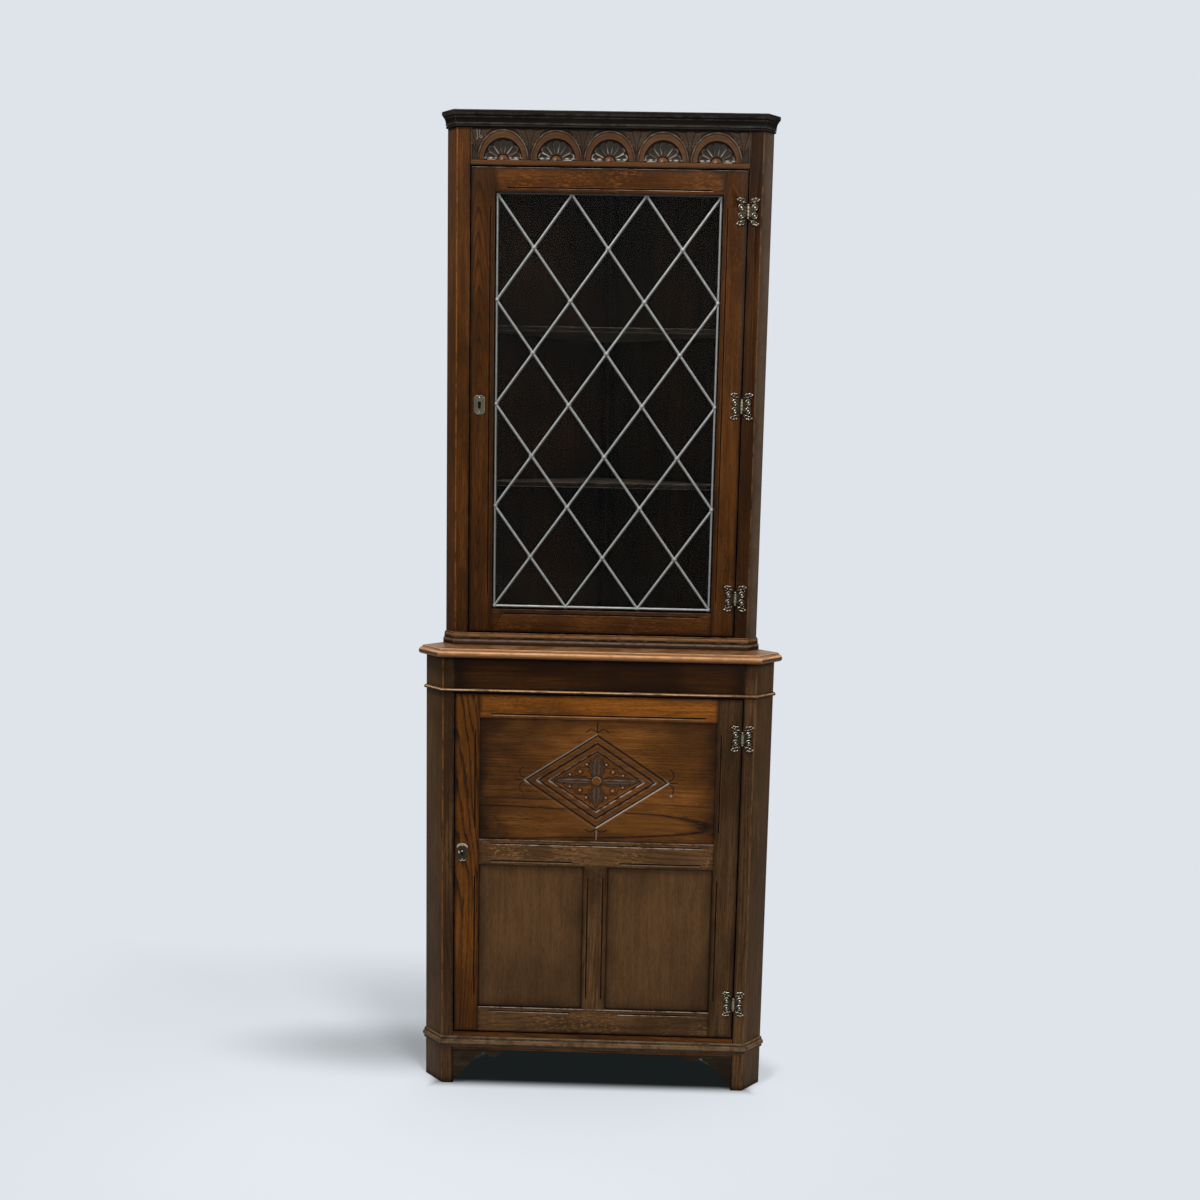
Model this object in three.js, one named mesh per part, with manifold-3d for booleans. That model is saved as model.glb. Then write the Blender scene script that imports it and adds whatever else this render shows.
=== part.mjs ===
// Two-stage corner cupboard in oak. Millimetres, +Z up, the front faces -Y.
// The plan of each stage is a right-angled corner closed by a front and two canted returns.
import * as THREE from 'three';
import { mergeVertices } from 'three/addons/utils/BufferGeometryUtils.js';
import Module from 'manifold-3d';

const wasm = await Module();
wasm.setup();

// Fits
const seatGap = 0.3;
const cutOver = 2;
const weldDistance = 0.0001;

// Plan of the two stages
const baseFrontWidth = 584;
const baseReturnWidth = 52;
const basePostFace = 21.8;
const upperFrontWidth = 553;
const upperReturnWidth = 28.3;
const upperPostFace = 24.5;

// Boards
const postThickness = 20;
const backThickness = 6;
const backLap = 10;
const rearPostWidth = 14;
const postHousing = 6;
const rearHousing = 4;

// Heights of the base stage, from the floor up
const footHeight = 70;
const baseRailHeight = 36;
const baseFloorThickness = 18;
const baseDoorHeight = 665.5;
const apronHeight = 67;
const counterThickness = 16;
const baseShelfThickness = 12;
const baseShelfRise = 330;

// Heights of the upper stage, from the counter up
const footBoardThickness = 10.5;
const upperFloorThickness = 12;
const upperDoorHeight = 850;
const friezeHeight = 76;
const topBoardThickness = 12;
const corniceRise = 6;
const upperShelfThickness = 9;
const lowerShelfRise = 277;
const upperShelfRise = 564;

// Front edges of the shelves, behind the doors
const baseShelfSetback = 8;
const upperShelfSetback = 1;

// Counter and wrapped mouldings
const counterOverhang = 17.5;
const thumbWidth = 13;
const thumbFillet = 4.5;
const footBoardOverhang = 6;
const ovoloDepth = 3.6;
const ovoloFillet = 2.4;
const beadHeight = 7;
const beadDepth = 5.4;
const plinthHeight = 20;
const plinthDepth = 7.3;
const plinthDrop = 9;
const corniceHeight = 28;
const corniceDepth = 13;
const corniceFillet = 6;
const corniceBead = 4;
const corniceBeadDepth = 3.6;
const mouldingReach = 40;
const mitreLap = 0.1;
const curveSteps = 5;

// Doors
const doorThickness = 20;
const doorSideGap = 1.6;
const doorEndGap = 2.4;
const baseStileWidth = 46;
const baseTopRailHeight = 46;
const baseMidRailHeight = 50;
const baseBottomRailHeight = 49.5;
const carvedPanelHeight = 235;
const muntinWidth = 45;
const upperStileWidth = 43.5;
const upperTopRailHeight = 43.7;
const upperBottomRailHeight = 43.3;

// Joints of the door frames
const tenonThickness = 6;
const tenonFront = 8;
const tenonLength = 19;
const tenonShoulder = 6;
const panelGrooveDepth = 8;
const panelFront = 5;
const panelClearance = 0.5;
const rebateWidth = 6;
const rebateFront = 9;

// Stopped scratch grooves round the openings of the doors
const scratchWidth = 2.4;
const scratchDepth = 1.5;
const scratchOffset = 8;
const scratchStop = 22;

// Leaded light
const latticeColumns = 3;
const latticeRows = 4;
const latticeSideInset = 3.4;
const latticeTopInset = 2;
const latticeBottomInset = 5;
const flangeWidth = 5.2;
const flangeThickness = 1;
const glassThickness = 3;
const leadEdgeClearance = 0.5;

// Locks and escutcheons
const lockBacking = 5.5;
const lockHeight = 44;
const lockFront = 9;
const lockThickness = 10;
const boltLength = 14;
const boltHeight = 9;
const boltThickness = 5;
const boltRise = 11;
const boltSetback = 1;
const boltThrow = 6;
const keyPinRadius = 1.4;
const keyPinSetback = 1.5;
const keyholeRadius = 2.6;
const keyholeSlotWidth = 3;
const keyholeSlotDrop = 7;
const keyholeClearance = 0.8;
const upperKeyInset = 17.4;
const upperKeyLift = 2;
const baseKeyInset = 14.7;
const baseKeyLift = 26;
const escutcheonWidth = 22.5;
const escutcheonHeight = 36;
const escutcheonDrop = 3;
const escutcheonThickness = 1.4;
const escutcheonPinRadius = 1;
const escutcheonPinRise = 14.5;

// Hinges with a ball-tipped pin and a screwed leaf on each side
const leafWidth = 18.4;
const leafHeight = 54;
const leafThickness = 1.5;
const leafInset = 3.6;
const barrelRadius = 2.9;
const barrelBore = 1.5;
const barrelLength = 20;
const pinRadius = 1.2;
const pinBallRadius = 2.5;
const screwHeadRadius = 2.4;
const screwHeadHeight = 1.6;
const screwShankRadius = 1;
const screwLength = 9;
const screwHoleRadius = 1.35;
const hingeScrewOut = 11.6;
const hingeScrewRise = 7.8;
const knuckleCount = 3;
const hingeSides = 8;
const ballSteps = 4;
const screwSides = 8;
const domeSteps = 2;
const upperHingeFootInset = 73;
const upperHingeHeadInset = 72;
const upperHingeMiddleLift = 5;
const baseHingeFootInset = 69;
const baseHingeHeadInset = 74.5;

// Carving of the frieze
const friezeMargin = 9;
const friezeStripHeight = 10.5;
const lunetteCount = 5;
const lunetteHeight = 52;
const lunetteTrim = 1.5;
const carvingDepth = 4;
const lunetteSideGap = 3;
const archBandWidth = 10.5;
const petalCount = 7;
const petalDepth = 1.2;
const petalStart = 11;
const petalTipGap = 2.5;
const petalSideShare = 0.125;
const petalTipSteps = 3;
const buttonWidth = 18;
const buttonHeight = 7;
const buttonSet = 0.6;
const spandrelFlutes = 3;
const spandrelDrop = 34;
const spandrelDepth = 1.6;
const spandrelWidthShare = 0.34;
const fluteWidthShare = 0.8;
const fluteFootShare = 0.2;
const carvingRoot = 0.5;
const archSteps = 14;

// Carving of the door panel
const lozengeHalfWidth = 134;
const lozengeHalfHeight = 89;
const lozengeLines = 3;
const lozengeSpacing = 12.8;
const lozengeLineWidth = 3;
const lozengeLineDepth = 1.4;
const bossRadius = 8;
const bossHeight = 2;
const flowerPetalLength = 34;
const flowerPetalWidth = 13;
const flowerPetalStart = 11;
const flowerPetalDepth = 1.6;
const flourishLength = 22;
const flourishWidth = 2.4;
const curlReach = 23;
const curlDrop = 20;
const bossSides = 12;

// Shares of a leaf's width and height, from its barrel edge outwards and its middle upwards
const leafOutlineShares = [
  [0, 0.2], [0.08, 0.3], [0.22, 0.33], [0.16, 0.42], [0.34, 0.45], [0.54, 0.5],
  [0.68, 0.45], [0.92, 0.4], [1, 0.32], [0.86, 0.28], [0.8, 0.22], [0.84, 0.12], [0.74, 0],
];
// Shares of the escutcheon's half width and half height, one quarter from the side to the top
const escutcheonShares = [[0.84, 0], [0.82, 0.35], [0.86, 0.58], [1, 0.68], [0.94, 0.86], [0.5, 0.98]];
// Brackets between the feet
const bracketLength = 98;
const bracketDrop = 62;
// Shares of a bracket's length and drop, along its lower edge from the post to the middle
const bracketShares = [
  [0, 1], [0.07, 0.94], [0.16, 0.82], [0.27, 0.6], [0.37, 0.38], [0.47, 0.25], [0.56, 0.18],
  [0.59, 0.1], [0.63, 0.1], [0.67, 0.15], [0.73, 0.22], [0.8, 0.25], [0.88, 0.22], [0.95, 0.11], [1, 0],
];

// Levels worked out from the heights
const railTop = footHeight + baseRailHeight;
const baseDoorBottom = railTop + doorEndGap;
const baseDoorTop = baseDoorBottom + baseDoorHeight;
const apronBottom = baseDoorTop + doorEndGap;
const counterBottom = apronBottom + apronHeight;
const counterTop = counterBottom + counterThickness;
const footBoardTop = counterTop + footBoardThickness;
const upperFloorTop = footBoardTop + upperFloorThickness;
const upperDoorBottom = upperFloorTop + doorEndGap;
const upperDoorTop = upperDoorBottom + upperDoorHeight;
const friezeBottom = upperDoorTop + doorEndGap;
const topBoardBottom = friezeBottom + friezeHeight;
const topBoardTop = topBoardBottom + topBoardThickness;
const overallHeight = topBoardTop + corniceRise;

// A stage is its half width at the front, the run of its canted return and where the walls meet
function makeStage(frontWidth, returnWidth, postFace, frontY) {
  const half = frontWidth / 2;
  const cant = returnWidth * Math.SQRT1_2;
  return {
    half,
    cant,
    frontY,
    inner: half - postFace,
    cornerY: frontY + half + 2 * cant,
    wallLength: (half + cant) * Math.SQRT2,
  };
}

const base = makeStage(baseFrontWidth, baseReturnWidth, basePostFace, 0);
const upperRun = upperFrontWidth / 2 + 2 * upperReturnWidth * Math.SQRT1_2;
const upper = makeStage(upperFrontWidth, upperReturnWidth, upperPostFace, base.cornerY - upperRun);

// Closed solids made from the shapes, and the surfaces of the finished solids
function toSolid(geometry) {
  geometry.deleteAttribute('normal');
  geometry.deleteAttribute('uv');
  const merged = mergeVertices(geometry, weldDistance);
  return new wasm.Manifold(new wasm.Mesh({
    numProp: 3,
    vertProperties: merged.attributes.position.array,
    triVerts: Uint32Array.from(merged.index.array),
  }));
}

function toGeometry(solid) {
  const mesh = solid.getMesh();
  const geometry = new THREE.BufferGeometry();
  geometry.setAttribute('position', new THREE.BufferAttribute(mesh.vertProperties, 3));
  geometry.setIndex(new THREE.BufferAttribute(mesh.triVerts, 1));
  geometry.computeVertexNormals();
  return geometry;
}

function joined(solids) {
  return solids.reduce((whole, next) => whole.add(next));
}

function makeShape(points, holes = []) {
  const shape = new THREE.Shape(points.map(([x, y]) => new THREE.Vector2(x, y)));
  shape.holes = holes.map((hole) => new THREE.Path(hole.map(([x, y]) => new THREE.Vector2(x, y))));
  return shape;
}

// A plan outline raised from one level to another
function prism(outline, bottom, top) {
  const geometry = new THREE.ExtrudeGeometry(makeShape(outline), { depth: top - bottom, bevelEnabled: false });
  geometry.translate(0, 0, bottom);
  return toSolid(geometry);
}

// An outline seen from the front, x and z, cut through from front to back
function frontPlate(outline, front, back, holes = []) {
  const shape = makeShape(outline, holes);
  const geometry = new THREE.ExtrudeGeometry(shape, { depth: back - front, bevelEnabled: false });
  geometry.rotateX(Math.PI / 2);
  geometry.translate(0, back, 0);
  return toSolid(geometry);
}

function block(x0, x1, y0, y1, z0, z1) {
  const geometry = new THREE.BoxGeometry(x1 - x0, y1 - y0, z1 - z0);
  geometry.translate((x0 + x1) / 2, (y0 + y1) / 2, (z0 + z1) / 2);
  return toSolid(geometry);
}

// A profile turned about an upright axis
function turned(profile, sides, x, y, z) {
  const points = profile.map(([radius, rise]) => new THREE.Vector2(radius, rise));
  const geometry = new THREE.LatheGeometry(points, sides);
  geometry.rotateX(Math.PI / 2);
  geometry.translate(x, y, z);
  return toSolid(geometry);
}

// A profile turned about an axis that points to the front, its rise measured forwards
function turnedForward(profile, sides, x, y, z) {
  const points = profile.map(([radius, rise]) => new THREE.Vector2(radius, rise));
  const geometry = new THREE.LatheGeometry(points, sides);
  geometry.rotateX(Math.PI);
  geometry.translate(x, y, z);
  return toSolid(geometry);
}

function arcPoints(centreX, centreY, radiusX, radiusY, start, end, steps) {
  return Array.from({ length: steps + 1 }, (unused, index) => {
    const angle = start + ((end - start) * index) / steps;
    return [centreX + radiusX * Math.cos(angle), centreY + radiusY * Math.sin(angle)];
  });
}

function mirrored(points) {
  return points.map(([x, y]) => [-x, y]);
}

// Left-hand points, then the same points mirrored back to the start
function closeAcross(points) {
  const offAxis = points.filter(([x]) => Math.abs(x) > weldDistance);
  return [...points, ...mirrored(offAxis).reverse()];
}

// Points of a stage's left half in plan, set in from the front, the return and the wall
function frontCorner(stage, frontInset, cantInset) {
  return [-stage.half - frontInset + cantInset * Math.SQRT2, stage.frontY + frontInset];
}

function wallPoint(stage, along, inward) {
  return [
    -stage.half - stage.cant + (along + inward) * Math.SQRT1_2,
    stage.frontY + stage.cant + (along - inward) * Math.SQRT1_2,
  ];
}

function rearPoint(stage, fromLeftWall, fromRightWall) {
  return [
    (fromLeftWall - fromRightWall) * Math.SQRT1_2,
    stage.cornerY - (fromLeftWall + fromRightWall) * Math.SQRT1_2,
  ];
}

// The whole plan of a stage, grown past the front and the returns but not into the walls
function outerOutline(stage, overhang) {
  return closeAcross([
    frontCorner(stage, -overhang, -overhang),
    wallPoint(stage, -overhang, 0),
    rearPoint(stage, 0, 0),
  ]);
}

// The plan inside the backs, housed a little way into the posts and notched round the rear post
function innerOutline(stage, frontInset, sideHousing, backHousing) {
  const cantInset = postThickness - sideHousing + seatGap;
  const wallInset = backThickness + seatGap;
  const notch = wallInset + rearPostWidth - backHousing + seatGap;
  return closeAcross([
    frontCorner(stage, frontInset, cantInset),
    wallPoint(stage, cantInset, wallInset),
    rearPoint(stage, wallInset, notch),
    rearPoint(stage, notch, notch),
  ]);
}

// What a shelf takes out of the left post, and out of the rear post
function postHousingOutline(stage, frontInset) {
  const deep = postThickness - postHousing;
  const wallInset = backThickness + seatGap;
  return [
    frontCorner(stage, frontInset, deep),
    wallPoint(stage, deep, wallInset),
    wallPoint(stage, postThickness + cutOver, wallInset),
    frontCorner(stage, frontInset, postThickness + cutOver),
  ];
}

function rearHousingOutline(stage) {
  const near = backThickness - cutOver;
  const far = backThickness + seatGap + rearPostWidth;
  const deep = far - rearHousing;
  const clear = far + cutOver;
  return [[deep, near], [clear, near], [clear, clear], [near, clear], [near, deep], [deep, deep]]
    .map(([fromLeft, fromRight]) => rearPoint(stage, fromLeft, fromRight));
}

function postOutline(stage) {
  const rebate = backThickness + seatGap;
  return [
    [-stage.inner, stage.frontY],
    [-stage.half, stage.frontY],
    wallPoint(stage, 0, 0),
    wallPoint(stage, backLap, 0),
    wallPoint(stage, backLap, rebate),
    wallPoint(stage, postThickness, rebate),
    frontCorner(stage, postThickness, postThickness),
    [-stage.inner, stage.frontY + postThickness],
  ];
}

function rearPostOutline(stage) {
  const near = backThickness + seatGap;
  const far = near + rearPostWidth;
  return [
    rearPoint(stage, near, near),
    rearPoint(stage, near, far),
    rearPoint(stage, far, far),
    rearPoint(stage, far, near),
  ];
}

// A back board lies in the post's rebate; the left one runs into the corner, the right one butts it
function backOutline(stage, end) {
  return [
    wallPoint(stage, backLap + seatGap, 0),
    wallPoint(stage, backLap + seatGap, backThickness),
    wallPoint(stage, end, backThickness),
    wallPoint(stage, end, 0),
  ];
}

// Moulding profiles are [out, up] points; each starts at the face it is nailed to
function sweepAlongX(profile, from, to) {
  const settings = { depth: to - from, bevelEnabled: false };
  const geometry = new THREE.ExtrudeGeometry(makeShape(profile), settings);
  const out = new THREE.Vector3(0, -1, 0);
  const up = new THREE.Vector3(0, 0, 1);
  const run = new THREE.Vector3(-1, 0, 0);
  geometry.applyMatrix4(new THREE.Matrix4().makeBasis(out, up, run));
  geometry.translate(to, 0, 0);
  return geometry;
}

function frontLength(stage, profile, reach) {
  const geometry = sweepAlongX(profile, -stage.half - reach, stage.half + reach);
  geometry.translate(0, stage.frontY, 0);
  return toSolid(geometry);
}

function returnLength(stage, profile, reach, side) {
  const run = stage.cant * Math.SQRT2 + reach;
  const geometry = side < 0 ? sweepAlongX(profile, -run, reach) : sweepAlongX(profile, -reach, run);
  geometry.rotateZ((side * Math.PI) / 4);
  geometry.translate(side * stage.half, stage.frontY, 0);
  return toSolid(geometry);
}

// The mitred places of the front and the left length, in plan
function frontRegion(stage, reach) {
  const spread = reach * Math.tan(Math.PI / 8);
  return closeAcross([[-stage.half, stage.frontY], [-stage.half - spread, stage.frontY - reach]]);
}

function returnRegion(stage, reach) {
  const spread = reach * Math.tan(Math.PI / 8);
  return [
    [-stage.half + mitreLap, stage.frontY],
    [-stage.half + mitreLap - spread, stage.frontY - reach],
    wallPoint(stage, -reach, 0),
    wallPoint(stage, 0, 0),
  ];
}

// Three lengths round the front and the returns, mitred and glued into one moulding
function wrappedMoulding(stage, profileFrom, bottom, top) {
  const reach = mouldingReach;
  const front = frontLength(stage, profileFrom(0), reach)
    .intersect(prism(frontRegion(stage, reach), bottom, top));
  const region = returnRegion(stage, reach);
  const left = returnLength(stage, profileFrom(seatGap), reach, -1)
    .intersect(prism(region, bottom, top));
  const right = returnLength(stage, profileFrom(seatGap), reach, 1)
    .intersect(prism(mirrored(region), bottom, top));
  return joined([front, left, right]);
}

function beadProfile(inner) {
  const half = beadHeight / 2;
  const middle = apronBottom + half;
  return [
    [inner, apronBottom],
    ...arcPoints(seatGap, middle, beadDepth - seatGap, half, -Math.PI / 2, Math.PI / 2, 2 * curveSteps),
    [inner, apronBottom + beadHeight],
  ];
}

function ovoloProfile(inner) {
  const half = (upperFloorThickness - ovoloFillet) / 2;
  const middle = footBoardTop + half;
  return [
    [inner, footBoardTop],
    [ovoloDepth, footBoardTop],
    [ovoloDepth, middle],
    ...arcPoints(seatGap, middle, ovoloDepth - seatGap, half, 0, Math.PI / 2, curveSteps),
    [seatGap, upperFloorTop],
    [inner, upperFloorTop],
  ];
}

function plinthProfile(inner) {
  const top = railTop - plinthDrop;
  const bottom = top - plinthHeight;
  const half = plinthHeight / 2;
  const quarter = plinthHeight / 4;
  const step = plinthDepth / 2;
  return [
    [inner, bottom],
    [step, bottom],
    [step, bottom + quarter],
    ...arcPoints(step, bottom + half, plinthDepth - step, quarter, -Math.PI / 2, Math.PI / 2, 2 * curveSteps),
    [step, bottom + half + quarter],
    ...arcPoints(seatGap, bottom + half + quarter, step - seatGap, quarter, 0, Math.PI / 2, curveSteps),
    [inner, top],
  ];
}

function corniceProfile(inner) {
  const bottom = overallHeight - corniceHeight;
  const coveTop = overallHeight - corniceFillet;
  const coveBottom = bottom + corniceBead;
  const coveHeight = coveTop - coveBottom;
  const coveDepth = corniceDepth - corniceBeadDepth;
  const beadMiddle = bottom + corniceBead / 2;
  return [
    [inner, bottom],
    ...arcPoints(seatGap, beadMiddle, corniceBeadDepth - seatGap, corniceBead / 2, -Math.PI / 2, 0, curveSteps),
    [corniceBeadDepth, coveBottom],
    ...arcPoints(corniceDepth, coveBottom, coveDepth, coveHeight, Math.PI, Math.PI / 2, curveSteps).slice(1),
    [corniceDepth, overallHeight],
    [inner, overallHeight],
  ];
}

// The counter's upper edge is worked to a thumb mould on the front and the returns
function counterSolid() {
  const start = counterOverhang - thumbWidth;
  const rise = counterThickness - thumbFillet;
  const level = counterBottom + thumbFillet;
  const cutter = [
    [start, counterTop + cutOver],
    [counterOverhang + cutOver, counterTop + cutOver],
    [counterOverhang + cutOver, level],
    ...arcPoints(start, level, thumbWidth, rise, 0, Math.PI / 2, 2 * curveSteps),
  ];
  return prism(outerOutline(base, counterOverhang), counterBottom, counterTop)
    .subtract(frontLength(base, cutter, mouldingReach))
    .subtract(returnLength(base, cutter, mouldingReach, -1))
    .subtract(returnLength(base, cutter, mouldingReach, 1));
}

// The doors, as rectangles of the front seen from the front
function makeDoor(stage, bottom, height, stileWidth) {
  const half = stage.inner - doorSideGap;
  return {
    stage,
    half,
    bottom,
    top: bottom + height,
    front: stage.frontY,
    back: stage.frontY + doorThickness,
    innerHalf: half - stileWidth,
    hingeX: stage.inner - doorSideGap / 2,
    hingeY: stage.frontY - barrelRadius - seatGap,
  };
}

const baseDoor = makeDoor(base, baseDoorBottom, baseDoorHeight, baseStileWidth);
const upperDoor = makeDoor(upper, upperDoorBottom, upperDoorHeight, upperStileWidth);

const bottomRailTop = baseDoor.bottom + baseBottomRailHeight;
const topRailBottom = baseDoor.top - baseTopRailHeight;
const midRailTop = topRailBottom - carvedPanelHeight;
const midRailBottom = midRailTop - baseMidRailHeight;
const muntinHalf = muntinWidth / 2;
const tenonY = [tenonFront, tenonFront + tenonThickness];

// Hinges keep their distance from the ends of the doors; the middle one and the keys follow the middle
const upperMiddle = (upperDoor.bottom + upperDoor.top) / 2;
const baseHingeLevels = [baseDoor.bottom + baseHingeFootInset, baseDoor.top - baseHingeHeadInset];
const upperHingeLevels = [
  upperDoor.bottom + upperHingeFootInset,
  upperMiddle + upperHingeMiddleLift,
  upperDoor.top - upperHingeHeadInset,
];

const lightOpening = {
  x0: -upperDoor.innerHalf,
  x1: upperDoor.innerHalf,
  z0: upperDoor.bottom + upperBottomRailHeight,
  z1: upperDoor.top - upperTopRailHeight,
};
const carvedOpening = { x0: -baseDoor.innerHalf, x1: baseDoor.innerHalf, z0: midRailTop, z1: topRailBottom };
const lowerOpenings = [
  { x0: -baseDoor.innerHalf, x1: -muntinHalf, z0: bottomRailTop, z1: midRailBottom },
  { x0: muntinHalf, x1: baseDoor.innerHalf, z0: bottomRailTop, z1: midRailBottom },
];

// Four stopped grooves round one opening
function scratchGrooves(opening, front) {
  const near = scratchOffset - scratchWidth / 2;
  const far = scratchOffset + scratchWidth / 2;
  const y0 = front - cutOver;
  const y1 = front + scratchDepth;
  const left = opening.x0 + scratchStop;
  const right = opening.x1 - scratchStop;
  const low = opening.z0 + scratchStop;
  const high = opening.z1 - scratchStop;
  return joined([
    block(left, right, y0, y1, opening.z1 + near, opening.z1 + far),
    block(left, right, y0, y1, opening.z0 - far, opening.z0 - near),
    block(opening.x0 - far, opening.x0 - near, y0, y1, low, high),
    block(opening.x1 + near, opening.x1 + far, y0, y1, low, high),
  ]);
}

// A bar of tenon section grown by the joint's clearance, for mortises and panel grooves
function slotBlock(x0, x1, z0, z1, front) {
  return block(x0, x1, front + tenonY[0] - seatGap, front + tenonY[1] + seatGap, z0, z1);
}

function mortisePair(door, bottom, top) {
  const reach = door.innerHalf + tenonLength + seatGap;
  const z0 = bottom + tenonShoulder - seatGap;
  const z1 = top - tenonShoulder + seatGap;
  const inside = door.innerHalf - cutOver;
  return slotBlock(-reach, -inside, z0, z1, door.front).add(slotBlock(inside, reach, z0, z1, door.front));
}

function tenonedRail(door, bottom, top) {
  const reach = door.innerHalf + tenonLength;
  const front = door.front;
  return block(-door.innerHalf, door.innerHalf, front, door.back, bottom, top).add(
    block(-reach, reach, front + tenonY[0], front + tenonY[1], bottom + tenonShoulder, top - tenonShoulder),
  );
}

// Grooves for the panels: one down each stile, and one along each edge that meets a panel
function stileGrooves(door) {
  const inside = door.innerHalf - cutOver;
  const reach = door.innerHalf + panelGrooveDepth + seatGap;
  const z0 = door.bottom + tenonShoulder;
  const z1 = door.top - tenonShoulder;
  return slotBlock(-reach, -inside, z0, z1, door.front).add(slotBlock(inside, reach, z0, z1, door.front));
}

function railGroove(edge, side) {
  const deep = edge - side * (panelGrooveDepth + seatGap);
  const clear = edge + side * cutOver;
  const reach = baseDoor.innerHalf + panelGrooveDepth + seatGap;
  return slotBlock(-reach, reach, Math.min(deep, clear), Math.max(deep, clear), baseDoor.front);
}

function baseDoorFrame() {
  const { front, back, half, innerHalf, bottom, top } = baseDoor;
  const scratches = joined([carvedOpening, ...lowerOpenings].map((opening) => scratchGrooves(opening, front)));
  const mortises = joined([
    mortisePair(baseDoor, topRailBottom, top),
    mortisePair(baseDoor, midRailBottom, midRailTop),
    mortisePair(baseDoor, bottom, bottomRailTop),
    stileGrooves(baseDoor),
  ]);
  const muntinTenon = muntinHalf - tenonShoulder;
  const muntinMortise = slotBlock(
    -muntinTenon - seatGap, muntinTenon + seatGap,
    bottomRailTop - tenonLength - seatGap, midRailBottom + tenonLength + seatGap, front,
  );
  const muntinReach = muntinHalf - panelGrooveDepth - seatGap;
  const grooveLow = bottomRailTop - panelGrooveDepth - seatGap;
  const grooveHigh = midRailBottom + panelGrooveDepth + seatGap;
  const muntinGrooves = slotBlock(-muntinHalf - cutOver, -muntinReach, grooveLow, grooveHigh, front)
    .add(slotBlock(muntinReach, muntinHalf + cutOver, grooveLow, grooveHigh, front));
  const muntin = block(-muntinHalf, muntinHalf, front, back, bottomRailTop, midRailBottom)
    .subtract(muntinGrooves)
    .add(block(
      -muntinTenon, muntinTenon, front + tenonY[0], front + tenonY[1],
      bottomRailTop - tenonLength, midRailBottom + tenonLength,
    ).subtract(muntinGrooves));
  const rail = (low, high) => tenonedRail(baseDoor, low, high).subtract(scratches);
  return {
    left: block(-half, -innerHalf, front, back, bottom, top).subtract(mortises).subtract(scratches),
    right: block(innerHalf, half, front, back, bottom, top).subtract(mortises).subtract(scratches),
    topRail: rail(topRailBottom, top).subtract(railGroove(topRailBottom, -1)),
    midRail: rail(midRailBottom, midRailTop)
      .subtract(railGroove(midRailTop, 1))
      .subtract(railGroove(midRailBottom, -1))
      .subtract(muntinMortise),
    bottomRail: rail(bottom, bottomRailTop).subtract(railGroove(bottomRailTop, 1)).subtract(muntinMortise),
    muntin: muntin.subtract(scratches),
  };
}

// A panel shows inside its opening and its thinner border lies in the grooves
function panelSolid(opening, door) {
  const grow = panelGrooveDepth;
  const shrink = panelClearance;
  const tongue = block(
    opening.x0 - grow, opening.x1 + grow, door.front + tenonY[0], door.front + tenonY[1],
    opening.z0 - grow, opening.z1 + grow,
  );
  return tongue.add(block(
    opening.x0 + shrink, opening.x1 - shrink, door.front + panelFront, door.front + tenonY[1],
    opening.z0 + shrink, opening.z1 - shrink,
  ));
}

// The upper door's frame is rebated at the back for the leaded light
function upperDoorFrame() {
  const { front, back, half, innerHalf, bottom, top } = upperDoor;
  const scratches = scratchGrooves(lightOpening, front);
  const rebateY = front + rebateFront;
  const rebateHalf = innerHalf + rebateWidth;
  const frameRebate = block(-rebateHalf, rebateHalf, rebateY, back + cutOver, bottom - cutOver, top + cutOver);
  const lowTenon = [bottom + tenonShoulder, lightOpening.z0 - rebateWidth - tenonShoulder];
  const highTenon = [lightOpening.z1 + rebateWidth + tenonShoulder, top - tenonShoulder];
  const reach = innerHalf + tenonLength;
  const tenon = ([z0, z1]) => block(-reach, reach, front + tenonY[0], front + tenonY[1], z0, z1);
  const mortises = joined([lowTenon, highTenon].map(([z0, z1]) => slotBlock(
    -reach - seatGap, reach + seatGap, z0 - seatGap, z1 + seatGap, front,
  )));
  const rail = (z0, z1, backLow, backHigh, tenonPlace) => block(-innerHalf, innerHalf, front, rebateY, z0, z1)
    .add(block(-rebateHalf, rebateHalf, rebateY, back, backLow, backHigh))
    .add(tenon(tenonPlace))
    .subtract(scratches);
  return {
    left: block(-half, -innerHalf, front, back, bottom, top)
      .subtract(frameRebate).subtract(mortises).subtract(scratches),
    right: block(innerHalf, half, front, back, bottom, top)
      .subtract(frameRebate).subtract(mortises).subtract(scratches),
    bottomRail: rail(bottom, lightOpening.z0, bottom, lightOpening.z0 - rebateWidth, lowTenon),
    topRail: rail(lightOpening.z1, top, lightOpening.z1 + rebateWidth, top, highTenon),
  };
}

// The lattice of the leaded light, cell by cell
function latticeCells() {
  const x0 = lightOpening.x0 + latticeSideInset;
  const z0 = lightOpening.z0 + latticeBottomInset;
  const halfWidth = (lightOpening.x1 - latticeSideInset - x0) / latticeColumns / 2;
  const halfHeight = (lightOpening.z1 - latticeTopInset - z0) / latticeRows / 2;
  const at = (column, row) => [x0 + column * halfWidth, z0 + row * halfHeight];
  const lastColumn = 2 * latticeColumns;
  const lastRow = 2 * latticeRows;
  const cells = [];
  for (let column = 0; column <= lastColumn; column += 1) {
    for (let row = 0; row <= lastRow; row += 1) {
      if ((column + row) % 2 === 1) {
        const ring = [[column - 1, row], [column, row - 1], [column + 1, row], [column, row + 1]];
        const inside = ring.filter(([c, r]) => c >= 0 && c <= lastColumn && r >= 0 && r <= lastRow);
        cells.push(inside.map(([c, r]) => at(c, r)));
      }
    }
  }
  return cells;
}

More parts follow.
